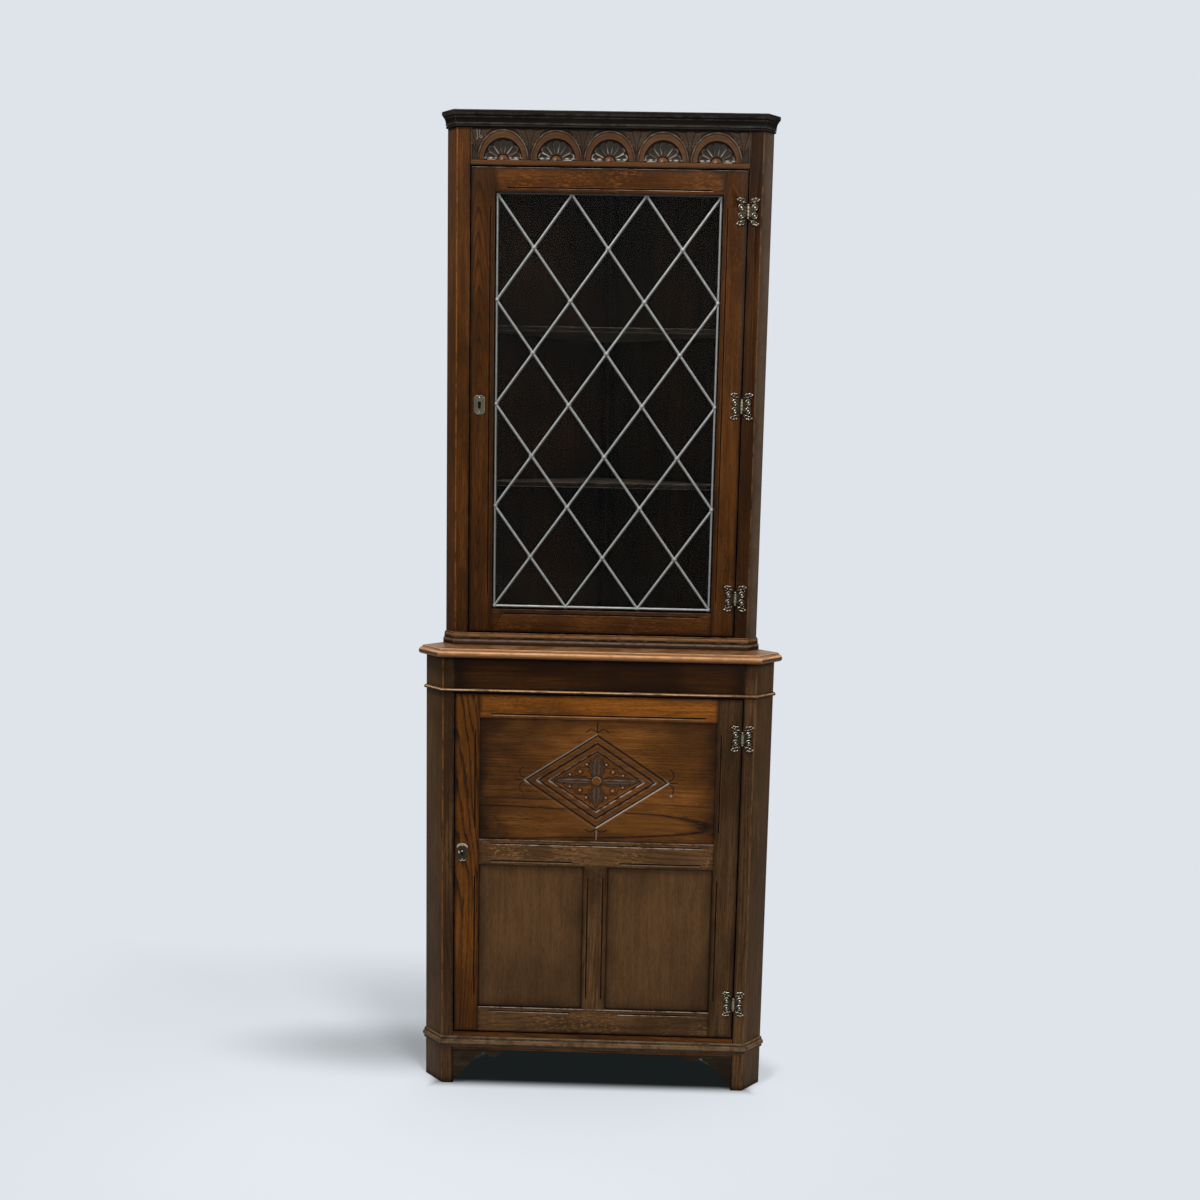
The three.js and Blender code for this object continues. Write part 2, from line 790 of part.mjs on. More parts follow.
// A convex outline, listed counterclockwise, with every edge moved inwards
function insetOutline(points, distance) {
  const edges = points.map((point, index) => {
    const next = points[(index + 1) % points.length];
    const length = Math.hypot(next[0] - point[0], next[1] - point[1]);
    const direction = [(next[0] - point[0]) / length, (next[1] - point[1]) / length];
    const start = [point[0] - direction[1] * distance, point[1] + direction[0] * distance];
    return { start, direction };
  });
  return edges.map((edge, index) => {
    const last = edges[(index + edges.length - 1) % edges.length];
    const cross = last.direction[0] * edge.direction[1] - last.direction[1] * edge.direction[0];
    const gapX = edge.start[0] - last.start[0];
    const gapY = edge.start[1] - last.start[1];
    const along = (gapX * edge.direction[1] - gapY * edge.direction[0]) / cross;
    return [last.start[0] + last.direction[0] * along, last.start[1] + last.direction[1] * along];
  });
}

const leadFront = upperDoor.front + rebateFront;
const glassFront = leadFront + flangeThickness;
const glassBack = glassFront + glassThickness;
const leadBack = glassBack + flangeThickness;

// The sheet that fills the rebate from edge to edge
function lightSheet(front, back) {
  const grow = rebateWidth - leadEdgeClearance;
  const { x0, x1, z0, z1 } = lightOpening;
  return block(x0 - grow, x1 + grow, front, back, z0 - grow, z1 + grow);
}

function leadLattice(cells, front, back) {
  const quarries = cells.map((cell) => frontPlate(
    insetOutline(cell, flangeWidth / 2), front - cutOver, back + cutOver,
  ));
  return lightSheet(front, back).subtract(joined(quarries));
}

// Four beads, mitred into a frame at the back of the rebate, hold the leaded light
function glazingBeads() {
  const grow = rebateWidth - seatGap;
  const { x0, x1, z0, z1 } = lightOpening;
  const back = upperDoor.back;
  return block(x0 - grow, x1 + grow, leadBack, back, z0 - grow, z1 + grow)
    .subtract(block(x0, x1, leadBack - cutOver, back + cutOver, z0, z1));
}

// A lock is let into the back of the left stile; its places are worked out from the key's
function makeLock(door, keyInset, keyZ) {
  const edge = -door.half;
  const caseFront = door.front + lockFront;
  return {
    door,
    edge,
    keyX: edge + keyInset,
    caseEnd: edge + keyInset + lockBacking,
    keyZ,
    caseFront,
    caseBack: caseFront + lockThickness,
    boltY: caseFront + lockThickness / 2,
    boltZ: keyZ + boltRise,
    plateZ: keyZ - escutcheonDrop,
  };
}

const baseLock = makeLock(baseDoor, baseKeyInset, midRailBottom + baseKeyLift);
const upperLock = makeLock(upperDoor, upperKeyInset, upperMiddle + upperKeyLift);

function keyholeOutline(lock, grow) {
  const radius = keyholeRadius + grow;
  const slotHalf = keyholeSlotWidth / 2 + grow / 2;
  const startAngle = Math.asin(slotHalf / radius) - Math.PI / 2;
  const round = arcPoints(
    lock.keyX, lock.keyZ, radius, radius, startAngle, Math.PI - startAngle, 2 * curveSteps,
  );
  const slotEnd = lock.keyZ - keyholeSlotDrop - grow;
  return [...round, [lock.keyX - slotHalf, slotEnd], [lock.keyX + slotHalf, slotEnd]];
}

function lockPocket(lock) {
  const pocket = block(
    lock.edge - cutOver, lock.caseEnd + seatGap, lock.caseFront, lock.door.back + cutOver,
    lock.keyZ - lockHeight / 2 - seatGap, lock.keyZ + lockHeight / 2 + seatGap,
  );
  const keyway = keyholeOutline(lock, keyholeClearance);
  return pocket.add(frontPlate(keyway, lock.door.front - cutOver, lock.caseFront + cutOver));
}

function boltBlock(lock, grow, start, end) {
  const halfHeight = boltHeight / 2 + grow;
  const halfThickness = boltThickness / 2 + grow;
  return block(
    start, end, lock.boltY - halfThickness, lock.boltY + halfThickness,
    lock.boltZ - halfHeight, lock.boltZ + halfHeight,
  );
}

function lockCase(lock) {
  const box = block(
    lock.edge, lock.caseEnd, lock.caseFront, lock.caseBack,
    lock.keyZ - lockHeight / 2, lock.keyZ + lockHeight / 2,
  );
  const channelEnd = lock.edge + boltSetback + boltLength + seatGap;
  const pinLength = lockFront - keyPinSetback;
  const pinProfile = [[0, -cutOver], [keyPinRadius, -cutOver], [keyPinRadius, pinLength], [0, pinLength]];
  return box
    .subtract(boltBlock(lock, seatGap, lock.edge - cutOver, channelEnd))
    .add(turnedForward(pinProfile, screwSides, lock.keyX, lock.caseFront, lock.keyZ));
}

function lockBolt(lock) {
  const start = lock.edge + boltSetback;
  return boltBlock(lock, 0, start, start + boltLength);
}

// The bolt shoots into a mortise in the edge of the left post
function strikeMortise(lock) {
  const edge = -lock.door.stage.inner;
  return boltBlock(lock, seatGap, edge - boltThrow, edge + cutOver);
}

function escutcheonPlate(lock) {
  const quarter = escutcheonShares.map(([across, up]) => [
    (across * escutcheonWidth) / 2, (up * escutcheonHeight) / 2,
  ]);
  const top = [0, escutcheonHeight / 2];
  const rightSide = [...quarter.slice(1).reverse().map(([x, z]) => [x, -z]), ...quarter, top];
  const leftSide = mirrored(rightSide).reverse().slice(1);
  const outline = [[0, -escutcheonHeight / 2], ...rightSide, ...leftSide];
  const placed = outline.map(([x, z]) => [lock.keyX + x, lock.plateZ + z]);
  const front = lock.door.front - escutcheonThickness;
  const keyhole = frontPlate(keyholeOutline(lock, 0), front - cutOver, lock.door.front + cutOver);
  return frontPlate(placed, front, lock.door.front).subtract(keyhole).add(escutcheonPins(lock));
}

// Round-headed screws and pins, shank and head in one
function fastener(x, y, z, headRadius, headHeight, shankRadius, depth) {
  const head = arcPoints(0, 0, headRadius, headHeight, 0, Math.PI / 2, domeSteps).slice(0, -1);
  const profile = [[0, -depth], [shankRadius, -depth], [shankRadius, 0], ...head, [0, headHeight]];
  return turnedForward(profile, screwSides, x, y, z);
}

function fastenerHole(x, y, z, radius, depth) {
  const profile = [[0, -depth], [radius, -depth], [radius, cutOver], [0, cutOver]];
  return turnedForward(profile, screwSides, x, y, z);
}

// Every screw of the leaves on one side of a door's hinges
function hingeScrewPlaces(door, levels, side) {
  return levels.flatMap((level) => [-1, 1].map((sign) => [
    door.hingeX + side * hingeScrewOut,
    door.front - leafThickness,
    level + sign * hingeScrewRise,
  ]));
}

function escutcheonPinPlaces(lock) {
  return [-1, 1].map((sign) => [
    lock.keyX, lock.door.front - escutcheonThickness, lock.plateZ + sign * escutcheonPinRise,
  ]);
}

function escutcheonPins(lock) {
  const shank = escutcheonPinRadius / 2;
  return joined(escutcheonPinPlaces(lock).map(([x, y, z]) => fastener(
    x, y, z, escutcheonPinRadius, escutcheonPinRadius, shank, lockFront / 2,
  )));
}

function screwHoles(places) {
  return joined(places.map(([x, y, z]) => fastenerHole(
    x, y, z, screwHoleRadius, screwLength + seatGap,
  )));
}

function pinHoles(lock) {
  const radius = escutcheonPinRadius / 2 + seatGap;
  return joined(escutcheonPinPlaces(lock).map(([x, y, z]) => fastenerHole(
    x, y, z, radius, lockFront / 2 + seatGap,
  )));
}

function leafPlate(door, z, side) {
  const upperHalf = leafOutlineShares.map(([out, up]) => [leafInset + out * leafWidth, up * leafHeight]);
  const lowerHalf = upperHalf.slice(0, -1).map(([x, up]) => [x, -up]).reverse();
  const outline = [...upperHalf, ...lowerHalf].map(([x, up]) => [door.hingeX + side * x, z + up]);
  return frontPlate(outline, door.front - leafThickness, door.front);
}

// A knuckle and the web that joins it to its leaf; the door's is bored, the post's holds the pin
function knuckle(door, z, side, index) {
  const length = barrelLength / knuckleCount;
  const bottom = -barrelLength / 2 + index * length + seatGap / 2;
  const top = bottom + length - seatGap;
  const bore = side < 0 ? barrelBore : 0;
  const profile = [[bore, bottom], [barrelRadius, bottom], [barrelRadius, top], [bore, top]];
  if (side < 0) profile.push([bore, bottom]);
  const barrel = turned(profile, hingeSides, door.hingeX, door.hingeY, z);
  const webStart = side * (barrelBore + seatGap);
  const webEnd = side * (leafInset + seatGap);
  const web = block(
    door.hingeX + Math.min(webStart, webEnd), door.hingeX + Math.max(webStart, webEnd),
    door.front - leafThickness, door.front - seatGap, z + bottom, z + top,
  );
  return barrel.add(web);
}

// The pin runs through the knuckles and carries a ball at each end
function hingePin(door, z) {
  const reach = barrelLength / 2;
  const middle = reach + pinBallRadius;
  const ball = arcPoints(0, middle, pinBallRadius, pinBallRadius, -Math.PI / 3, Math.PI / 2, ballSteps);
  const upperHalf = [[pinRadius, reach], ...ball.slice(0, -1), [0, reach + 2 * pinBallRadius]];
  const lowerHalf = upperHalf.map(([radius, rise]) => [radius, -rise]).reverse();
  return turned([...lowerHalf, ...upperHalf], hingeSides, door.hingeX, door.hingeY, z);
}

// One half of a hinge: its leaf, its knuckles and its screws, and on the post the pin
function hingeHalf(door, z, side) {
  const indexes = Array.from({ length: knuckleCount }, (unused, index) => index);
  const mine = indexes.filter((index) => (index % 2 === 0) === (side > 0));
  const pieces = [
    leafPlate(door, z, side),
    ...mine.map((index) => knuckle(door, z, side, index)),
    ...hingeScrewPlaces(door, [z], side).map(([x, y, screwZ]) => fastener(
      x, y, screwZ, screwHeadRadius, screwHeadHeight, screwShankRadius, screwLength,
    )),
  ];
  return joined(side > 0 ? [...pieces, hingePin(door, z)] : pieces);
}

// One lunette of the frieze: an arch band, a fan of petals and a half button
function lunette(middle, level, halfWidth) {
  const front = upper.frontY;
  const ground = front + carvingDepth + carvingRoot;
  const innerHalf = halfWidth - archBandWidth;
  const innerHeight = lunetteHeight - archBandWidth;
  const outer = arcPoints(middle, level, halfWidth, lunetteHeight, 0, Math.PI, archSteps);
  const inner = arcPoints(middle, level, innerHalf, innerHeight, Math.PI, 0, archSteps);
  const feet = level - carvingRoot;
  const leftFoot = [[middle - halfWidth, feet], [middle - innerHalf, feet]];
  const rightFoot = [[middle + innerHalf, feet], [middle + halfWidth, feet]];
  const band = frontPlate([...outer, ...leftFoot, ...inner, ...rightFoot], front, ground);
  const petals = Array.from({ length: petalCount }, (unused, index) => {
    const step = Math.PI / petalCount;
    const start = (index + petalSideShare) * step;
    const end = (index + 1 - petalSideShare) * step;
    const centre = (start + end) / 2;
    const reach = innerHalf - petalTipGap;
    const tip = arcPoints(middle, level, reach, innerHeight - petalTipGap, start, end, petalTipSteps);
    const root = [middle + petalStart * Math.cos(centre), level + petalStart * Math.sin(centre)];
    return frontPlate([...tip, root], front + petalDepth, ground);
  });
  const buttonRound = arcPoints(middle, level, buttonWidth / 2, buttonHeight, 0, Math.PI, curveSteps);
  const buttonFeet = [[middle - buttonWidth / 2, feet], [middle + buttonWidth / 2, feet]];
  const button = frontPlate([...buttonRound, ...buttonFeet], front + buttonSet, ground);
  return joined([band, ...petals, button]);
}

// Flutes that spread upwards from between two lunettes
function spandrel(middle, level, pitch) {
  const front = upper.frontY + spandrelDepth;
  const ground = upper.frontY + carvingDepth + carvingRoot;
  const top = level + lunetteHeight;
  const foot = top - spandrelDrop;
  const wide = pitch * spandrelWidthShare;
  const step = wide / spandrelFlutes;
  const flutes = Array.from({ length: spandrelFlutes }, (unused, index) => {
    const left = -wide / 2 + index * step;
    const right = left + step * fluteWidthShare;
    return frontPlate([
      [middle + left * fluteFootShare, foot], [middle + right * fluteFootShare, foot],
      [middle + right, top], [middle + left, top],
    ], front, ground);
  });
  return joined(flutes);
}

function friezeRail() {
  const front = upper.frontY;
  const bottom = friezeBottom + friezeStripHeight;
  const left = -upper.inner + friezeMargin;
  const right = upper.inner - friezeMargin;
  const pitch = (right - left) / lunetteCount;
  const halfWidth = pitch / 2 - lunetteSideGap;
  const rail = block(-upper.inner, upper.inner, front, front + postThickness, friezeBottom, topBoardBottom);
  const fieldTop = bottom + lunetteHeight - lunetteTrim;
  const field = block(left, right, front - cutOver, front + carvingDepth, bottom, fieldTop);
  const arches = Array.from({ length: lunetteCount }, (unused, index) => lunette(
    left + pitch / 2 + index * pitch, bottom, halfWidth,
  ));
  const between = Array.from({ length: lunetteCount - 1 }, (unused, index) => spandrel(
    left + (index + 1) * pitch, bottom, pitch,
  ));
  return joined([rail.subtract(field), ...arches, ...between]);
}

// Three nested lozenges, a four-petalled flower with a boss, and a flourish at each point
function carvedPanel() {
  const panel = panelSolid(carvedOpening, baseDoor);
  const middleZ = (carvedOpening.z0 + carvedOpening.z1) / 2;
  const face = baseDoor.front + panelFront;
  const lozenge = (halfWidth, halfHeight) => [
    [halfWidth, middleZ], [0, middleZ + halfHeight], [-halfWidth, middleZ], [0, middleZ - halfHeight],
  ];
  const lines = Array.from({ length: lozengeLines }, (unused, index) => {
    const outer = insetOutline(lozenge(lozengeHalfWidth, lozengeHalfHeight), index * lozengeSpacing);
    const inner = insetOutline(outer, lozengeLineWidth);
    return frontPlate(outer, face - cutOver, face + lozengeLineDepth, [inner]);
  });
  const petals = [0, 1, 2, 3].map((quarter) => {
    const angle = (quarter * Math.PI) / 2;
    const long = flowerPetalStart + flowerPetalLength / 2;
    const outline = [
      [flowerPetalStart, 0], [long, -flowerPetalWidth / 2],
      [flowerPetalStart + flowerPetalLength, 0], [long, flowerPetalWidth / 2],
    ];
    const placed = outline.map(([u, v]) => [
      u * Math.cos(angle) - v * Math.sin(angle), middleZ + u * Math.sin(angle) + v * Math.cos(angle),
    ]);
    return frontPlate(placed, face - cutOver, face + flowerPetalDepth);
  });
  const y0 = face - cutOver;
  const y1 = face + lozengeLineDepth;
  const halfFlourish = flourishWidth / 2;
  const flourishes = [-1, 1].flatMap((sign) => {
    const upStart = middleZ + sign * (lozengeHalfHeight + flourishWidth);
    const upEnd = upStart + sign * flourishLength;
    const sideX = sign * (lozengeHalfWidth + 2 * flourishWidth);
    const curlZ = upStart + sign * flourishLength / 3;
    return [
      block(-halfFlourish, halfFlourish, y0, y1, Math.min(upStart, upEnd), Math.max(upStart, upEnd)),
      block(-curlReach, curlReach, y0, y1, curlZ - halfFlourish, curlZ + halfFlourish),
      block(sideX - halfFlourish, sideX + halfFlourish, y0, y1, middleZ - curlDrop, middleZ + curlDrop),
    ];
  });
  const bossProfile = [
    [0, -carvingRoot], [bossRadius, -carvingRoot], [bossRadius, 0],
    [bossRadius * Math.SQRT1_2, bossHeight], [0, bossHeight],
  ];
  return panel.subtract(joined([...lines, ...petals, ...flourishes]))
    .add(turnedForward(bossProfile, bossSides, 0, face, middleZ));
}

// A scrolled bracket under the rail, against the inner edge of a post
function bracket(side) {
  const edge = bracketShares.map(([along, down]) => [
    base.inner - along * bracketLength, footHeight - down * bracketDrop,
  ]);
  const outline = [[base.inner, footHeight], ...edge.slice(0, -1), [base.inner - bracketLength, footHeight]];
  const placed = outline.map(([x, z]) => [side * x, z]);
  return frontPlate(placed, base.frontY, base.frontY + postThickness);
}

// Materials
function finish(color, roughness, metalness) {
  return new THREE.MeshStandardMaterial({ color, roughness, metalness });
}

const oakFrame = () => finish(0x4a2d17, 0.42, 0);
const oakDark = () => finish(0x2a1a12, 0.45, 0);
const oakPanel = () => finish(0x3b271a, 0.5, 0);
const oakInside = () => finish(0x2c1a14, 0.7, 0);
const pewter = () => finish(0x6b6256, 0.42, 1);
const lead = () => finish(0x8b8d8c, 0.45, 1);
const steel = () => finish(0x9a968c, 0.4, 1);
const clearGlass = () => new THREE.MeshStandardMaterial({
  color: 0x8d9796, roughness: 0.05, metalness: 0, transparent: true, opacity: 0.35,
});

function piece(name, solid, material) {
  const mesh = new THREE.Mesh(toGeometry(solid), material);
  mesh.name = name;
  return mesh;
}

function groupOf(pieces) {
  const group = new THREE.Group();
  group.add(...pieces);
  return group;
}

function hingePieces(door, levels, side, label) {
  return levels.map((level, index) => piece(
    `${label}_${index + 1}`, hingeHalf(door, level, side), pewter(),
  ));
}

function baseCarcass() {
  const shelfBottom = railTop + baseShelfRise;
  const floorBottom = railTop - baseFloorThickness;
  const shelfInset = doorThickness + baseShelfSetback;
  const boards = [
    { inset: postThickness, bottom: floorBottom, top: railTop },
    { inset: shelfInset, bottom: shelfBottom, top: shelfBottom + baseShelfThickness },
  ];
  const postHousings = joined(boards.map(({ inset, bottom, top }) => prism(
    postHousingOutline(base, inset), bottom, top + seatGap,
  )));
  const rearHousings = joined(boards.map(({ bottom, top }) => prism(
    rearHousingOutline(base), bottom, top + seatGap,
  )));
  const rightHousings = joined(boards.map(({ inset, bottom, top }) => prism(
    mirrored(postHousingOutline(base, inset)), bottom, top + seatGap,
  )));
  const leftPost = prism(postOutline(base), 0, counterBottom)
    .subtract(strikeMortise(baseLock)).subtract(postHousings);
  const rightPost = prism(mirrored(postOutline(base)), 0, counterBottom)
    .subtract(screwHoles(hingeScrewPlaces(baseDoor, baseHingeLevels, 1))).subtract(rightHousings);
  const rearPost = prism(rearPostOutline(base), 0, counterBottom).subtract(rearHousings);
  const [floor, shelf] = boards.map(({ inset, bottom, top }) => prism(
    innerOutline(base, inset, postHousing, rearHousing), bottom, top,
  ));
  const y0 = base.frontY;
  const y1 = base.frontY + postThickness;
  const rightEnd = base.wallLength - backThickness - seatGap;
  const rightBack = prism(mirrored(backOutline(base, rightEnd)), footHeight, counterBottom);
  const plinthTop = railTop - plinthDrop;
  const bead = wrappedMoulding(base, beadProfile, apronBottom - cutOver, apronBottom + beadHeight + cutOver);
  const plinth = wrappedMoulding(base, plinthProfile, plinthTop - plinthHeight - cutOver, plinthTop + cutOver);
  return groupOf([
    piece('base_post_left', leftPost, oakFrame()),
    piece('base_post_right', rightPost, oakFrame()),
    piece('base_rear_post', rearPost, oakInside()),
    piece('base_back_left', prism(backOutline(base, base.wallLength), footHeight, counterBottom), oakInside()),
    piece('base_back_right', rightBack, oakInside()),
    piece('base_floor', floor, oakInside()),
    piece('base_shelf', shelf, oakInside()),
    piece('base_bottom_rail', block(-base.inner, base.inner, y0, y1, footHeight, railTop), oakFrame()),
    piece('base_bracket_left', bracket(-1), oakFrame()),
    piece('base_bracket_right', bracket(1), oakFrame()),
    piece('base_apron', block(-base.inner, base.inner, y0, y1, apronBottom, counterBottom), oakDark()),
    piece('base_bead', bead, oakDark()),
    piece('plinth_moulding', plinth, oakDark()),
    piece('counter', counterSolid(), oakFrame()),
    ...hingePieces(baseDoor, baseHingeLevels, 1, 'base_hinge_post_leaf'),
  ]);
}

function baseDoorPieces() {
  const frame = baseDoorFrame();
  const doorScrews = hingeScrewPlaces(baseDoor, baseHingeLevels, -1);
  const leftStile = frame.left.subtract(lockPocket(baseLock)).subtract(pinHoles(baseLock));
  return groupOf([
    piece('base_door_stile_left', leftStile, oakFrame()),
    piece('base_door_stile_right', frame.right.subtract(screwHoles(doorScrews)), oakFrame()),
    piece('base_door_rail_top', frame.topRail, oakFrame()),
    piece('base_door_rail_middle', frame.midRail, oakFrame()),
    piece('base_door_rail_bottom', frame.bottomRail, oakFrame()),
    piece('base_door_muntin', frame.muntin, oakFrame()),
    piece('base_door_panel_carved', carvedPanel(), oakPanel()),
    piece('base_door_panel_left', panelSolid(lowerOpenings[0], baseDoor), oakPanel()),
    piece('base_door_panel_right', panelSolid(lowerOpenings[1], baseDoor), oakPanel()),
    piece('base_escutcheon', escutcheonPlate(baseLock), pewter()),
    piece('base_lock_case', lockCase(baseLock), steel()),
    ...hingePieces(baseDoor, baseHingeLevels, -1, 'base_hinge_door_leaf'),
  ]);
}

function upperCarcass() {
  const shelfInset = doorThickness + upperShelfSetback;
  const shelfBottoms = [lowerShelfRise, upperShelfRise].map((rise) => upperFloorTop + rise);
  const housing = (outline) => joined(shelfBottoms.map((bottom) => prism(
    outline, bottom, bottom + upperShelfThickness + seatGap,
  )));
  const leftPost = prism(postOutline(upper), footBoardTop, topBoardBottom)
    .subtract(strikeMortise(upperLock))
    .subtract(housing(postHousingOutline(upper, shelfInset)));
  const rightPost = prism(mirrored(postOutline(upper)), footBoardTop, topBoardBottom)
    .subtract(screwHoles(hingeScrewPlaces(upperDoor, upperHingeLevels, 1)))
    .subtract(housing(mirrored(postHousingOutline(upper, shelfInset))));
  const rearPost = prism(rearPostOutline(upper), footBoardTop, topBoardBottom)
    .subtract(housing(rearHousingOutline(upper)));
  const [lowShelf, highShelf] = shelfBottoms.map((bottom) => prism(
    innerOutline(upper, shelfInset, postHousing, rearHousing), bottom, bottom + upperShelfThickness,
  ));
  const sillBack = upper.frontY + postThickness + cutOver;
  const sill = block(-upper.inner, upper.inner, upper.frontY, sillBack, footBoardTop, upperFloorTop);
  const floor = prism(innerOutline(upper, postThickness, 0, 0), footBoardTop, upperFloorTop).add(sill);
  const rightEnd = upper.wallLength - backThickness - seatGap;
  const leftBack = prism(backOutline(upper, upper.wallLength), footBoardTop, topBoardBottom);
  const rightBack = prism(mirrored(backOutline(upper, rightEnd)), footBoardTop, topBoardBottom);
  const footBoard = prism(outerOutline(upper, footBoardOverhang), counterTop, footBoardTop);
  const corniceBottom = overallHeight - corniceHeight;
  const cornice = wrappedMoulding(upper, corniceProfile, corniceBottom - cutOver, overallHeight + cutOver);
  const ovolo = wrappedMoulding(upper, ovoloProfile, footBoardTop - cutOver, upperFloorTop + cutOver);
  return groupOf([
    piece('upper_foot_board', footBoard, oakDark()),
    piece('upper_floor', floor, oakInside()),
    piece('upper_post_left', leftPost, oakFrame()),
    piece('upper_post_right', rightPost, oakFrame()),
    piece('upper_rear_post', rearPost, oakInside()),
    piece('upper_back_left', leftBack, oakInside()),
    piece('upper_back_right', rightBack, oakInside()),
    piece('upper_shelf_low', lowShelf, oakInside()),
    piece('upper_shelf_high', highShelf, oakInside()),
    piece('upper_frieze', friezeRail(), oakFrame()),
    piece('upper_top_board', prism(outerOutline(upper, 0), topBoardBottom, topBoardTop), oakInside()),
    piece('cornice', cornice, oakDark()),
    piece('upper_base_moulding', ovolo, oakDark()),
    ...hingePieces(upperDoor, upperHingeLevels, 1, 'upper_hinge_post_leaf'),
  ]);
}

function upperDoorPieces() {
  const frame = upperDoorFrame();
  const doorScrews = hingeScrewPlaces(upperDoor, upperHingeLevels, -1);
  const leftStile = frame.left.subtract(lockPocket(upperLock)).subtract(pinHoles(upperLock));
  const cells = latticeCells();
  return groupOf([
    piece('upper_door_stile_left', leftStile, oakFrame()),
    piece('upper_door_stile_right', frame.right.subtract(screwHoles(doorScrews)), oakFrame()),
    piece('upper_door_rail_top', frame.topRail, oakFrame()),
    piece('upper_door_rail_bottom', frame.bottomRail, oakFrame()),
    piece('upper_door_glass', lightSheet(glassFront, glassBack), clearGlass()),
    piece('upper_door_leads_front', leadLattice(cells, leadFront, glassFront), lead()),
    piece('upper_door_leads_back', leadLattice(cells, glassBack, leadBack), lead()),
    piece('upper_door_glazing_beads', glazingBeads(), oakInside()),
    piece('upper_escutcheon', escutcheonPlate(upperLock), pewter()),
    piece('upper_lock_case', lockCase(upperLock), steel()),
    ...hingePieces(upperDoor, upperHingeLevels, -1, 'upper_hinge_door_leaf'),
  ]);
}

const cupboard = groupOf([
  baseCarcass(),
  baseDoorPieces(),
  piece('base_lock_bolt', lockBolt(baseLock), steel()),
  upperCarcass(),
  upperDoorPieces(),
  piece('upper_lock_bolt', lockBolt(upperLock), steel()),
]);

// The origin is on the floor under the middle of the whole piece
cupboard.position.y = -(base.cornerY + base.frontY - counterOverhang) / 2;

export default cupboard;
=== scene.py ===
"""Corner cupboard: boards, mouldings, carving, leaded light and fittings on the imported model."""

import math
from contextlib import contextmanager

import bmesh
import bpy
import numpy as np
from mathutils import Matrix, Vector


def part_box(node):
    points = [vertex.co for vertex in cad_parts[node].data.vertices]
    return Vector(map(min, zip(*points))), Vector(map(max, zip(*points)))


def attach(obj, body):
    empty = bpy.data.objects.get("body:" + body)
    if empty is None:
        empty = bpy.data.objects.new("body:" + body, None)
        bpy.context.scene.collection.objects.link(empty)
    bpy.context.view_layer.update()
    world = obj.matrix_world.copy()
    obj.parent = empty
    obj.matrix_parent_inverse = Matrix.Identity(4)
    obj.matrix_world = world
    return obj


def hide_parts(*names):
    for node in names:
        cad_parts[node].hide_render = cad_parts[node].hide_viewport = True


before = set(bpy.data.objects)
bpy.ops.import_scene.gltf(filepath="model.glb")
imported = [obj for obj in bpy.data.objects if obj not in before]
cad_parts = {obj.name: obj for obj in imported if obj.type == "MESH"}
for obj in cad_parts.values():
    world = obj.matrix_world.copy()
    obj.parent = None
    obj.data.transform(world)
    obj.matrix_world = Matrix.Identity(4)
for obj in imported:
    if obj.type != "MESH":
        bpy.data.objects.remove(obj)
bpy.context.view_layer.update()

bl_info = {
    "name": "Corner cupboard",
    "version": (1, 0, 0),
    "blender": (4, 5, 0),
    "location": "View3D > Sidebar > Cupboard",
    "description": "Builds an oak corner cupboard with a carved frieze and a leaded door",
    "category": "Object",
}

MM = 0.001
HALF_TURN = math.pi
SQUARE_SHARE = math.sqrt(0.5)
MITRE_SHARE = math.tan(math.pi / 8)

# Plans of the two stages, in mm: half the front, the front's place, run of a canted return
BASE_PLAN = (292.0, -174.02, 36.77)
UPPER_PLAN = (276.5, -125.0, 20.01)
CORNER_PLACE = 191.52

# Levels in mm
RAIL_TOP = 106.0
APRON_FOOT = 776.3
COUNTER_FOOT = 843.3
COUNTER_TOP = 859.3
FOOT_BOARD_TOP = 869.8
UPPER_FLOOR_TOP = 881.8
CORNICE_FOOT = 1802.6
CORNICE_TOP = 1830.6

# Slack in m for telling a plate's front corners, and distances in mm that pass every end
HAIR = 0.00001
FAR = 1000.0
ROUND_THE_FRONT = 900.0

# Hinges, in mm: the knuckles' radius and how far the pin stands in front of its face
KNUCKLE_RADIUS = 2.8
PIN_OUT = 3.2

# The pale side of a ground tone, the painted highlight on carved ridges and the painted highlight under a
# groove
PALE = 1.7
GLINT_HIGHLIGHT = (0.42, 0.37, 0.32)
GROOVE_LIGHT = (0.27, 0.22, 0.16)


# ---------------------------------------------------------------- sizes and colours


def colour_field(name, description, default):
    return bpy.props.FloatVectorProperty(
        name=name, description=description, subtype="COLOR", size=3, min=0.0, max=1.0, default=default)


def length_field(name, description, low, high, default):
    return bpy.props.FloatProperty(
        name=name, description=description, subtype="DISTANCE", unit="LENGTH", min=low, max=high,
        default=default)


def power_field(name, description, default):
    return bpy.props.FloatProperty(
        name=name, description=description, subtype="POWER", unit="POWER", min=0.0, max=500.0,
        default=default)


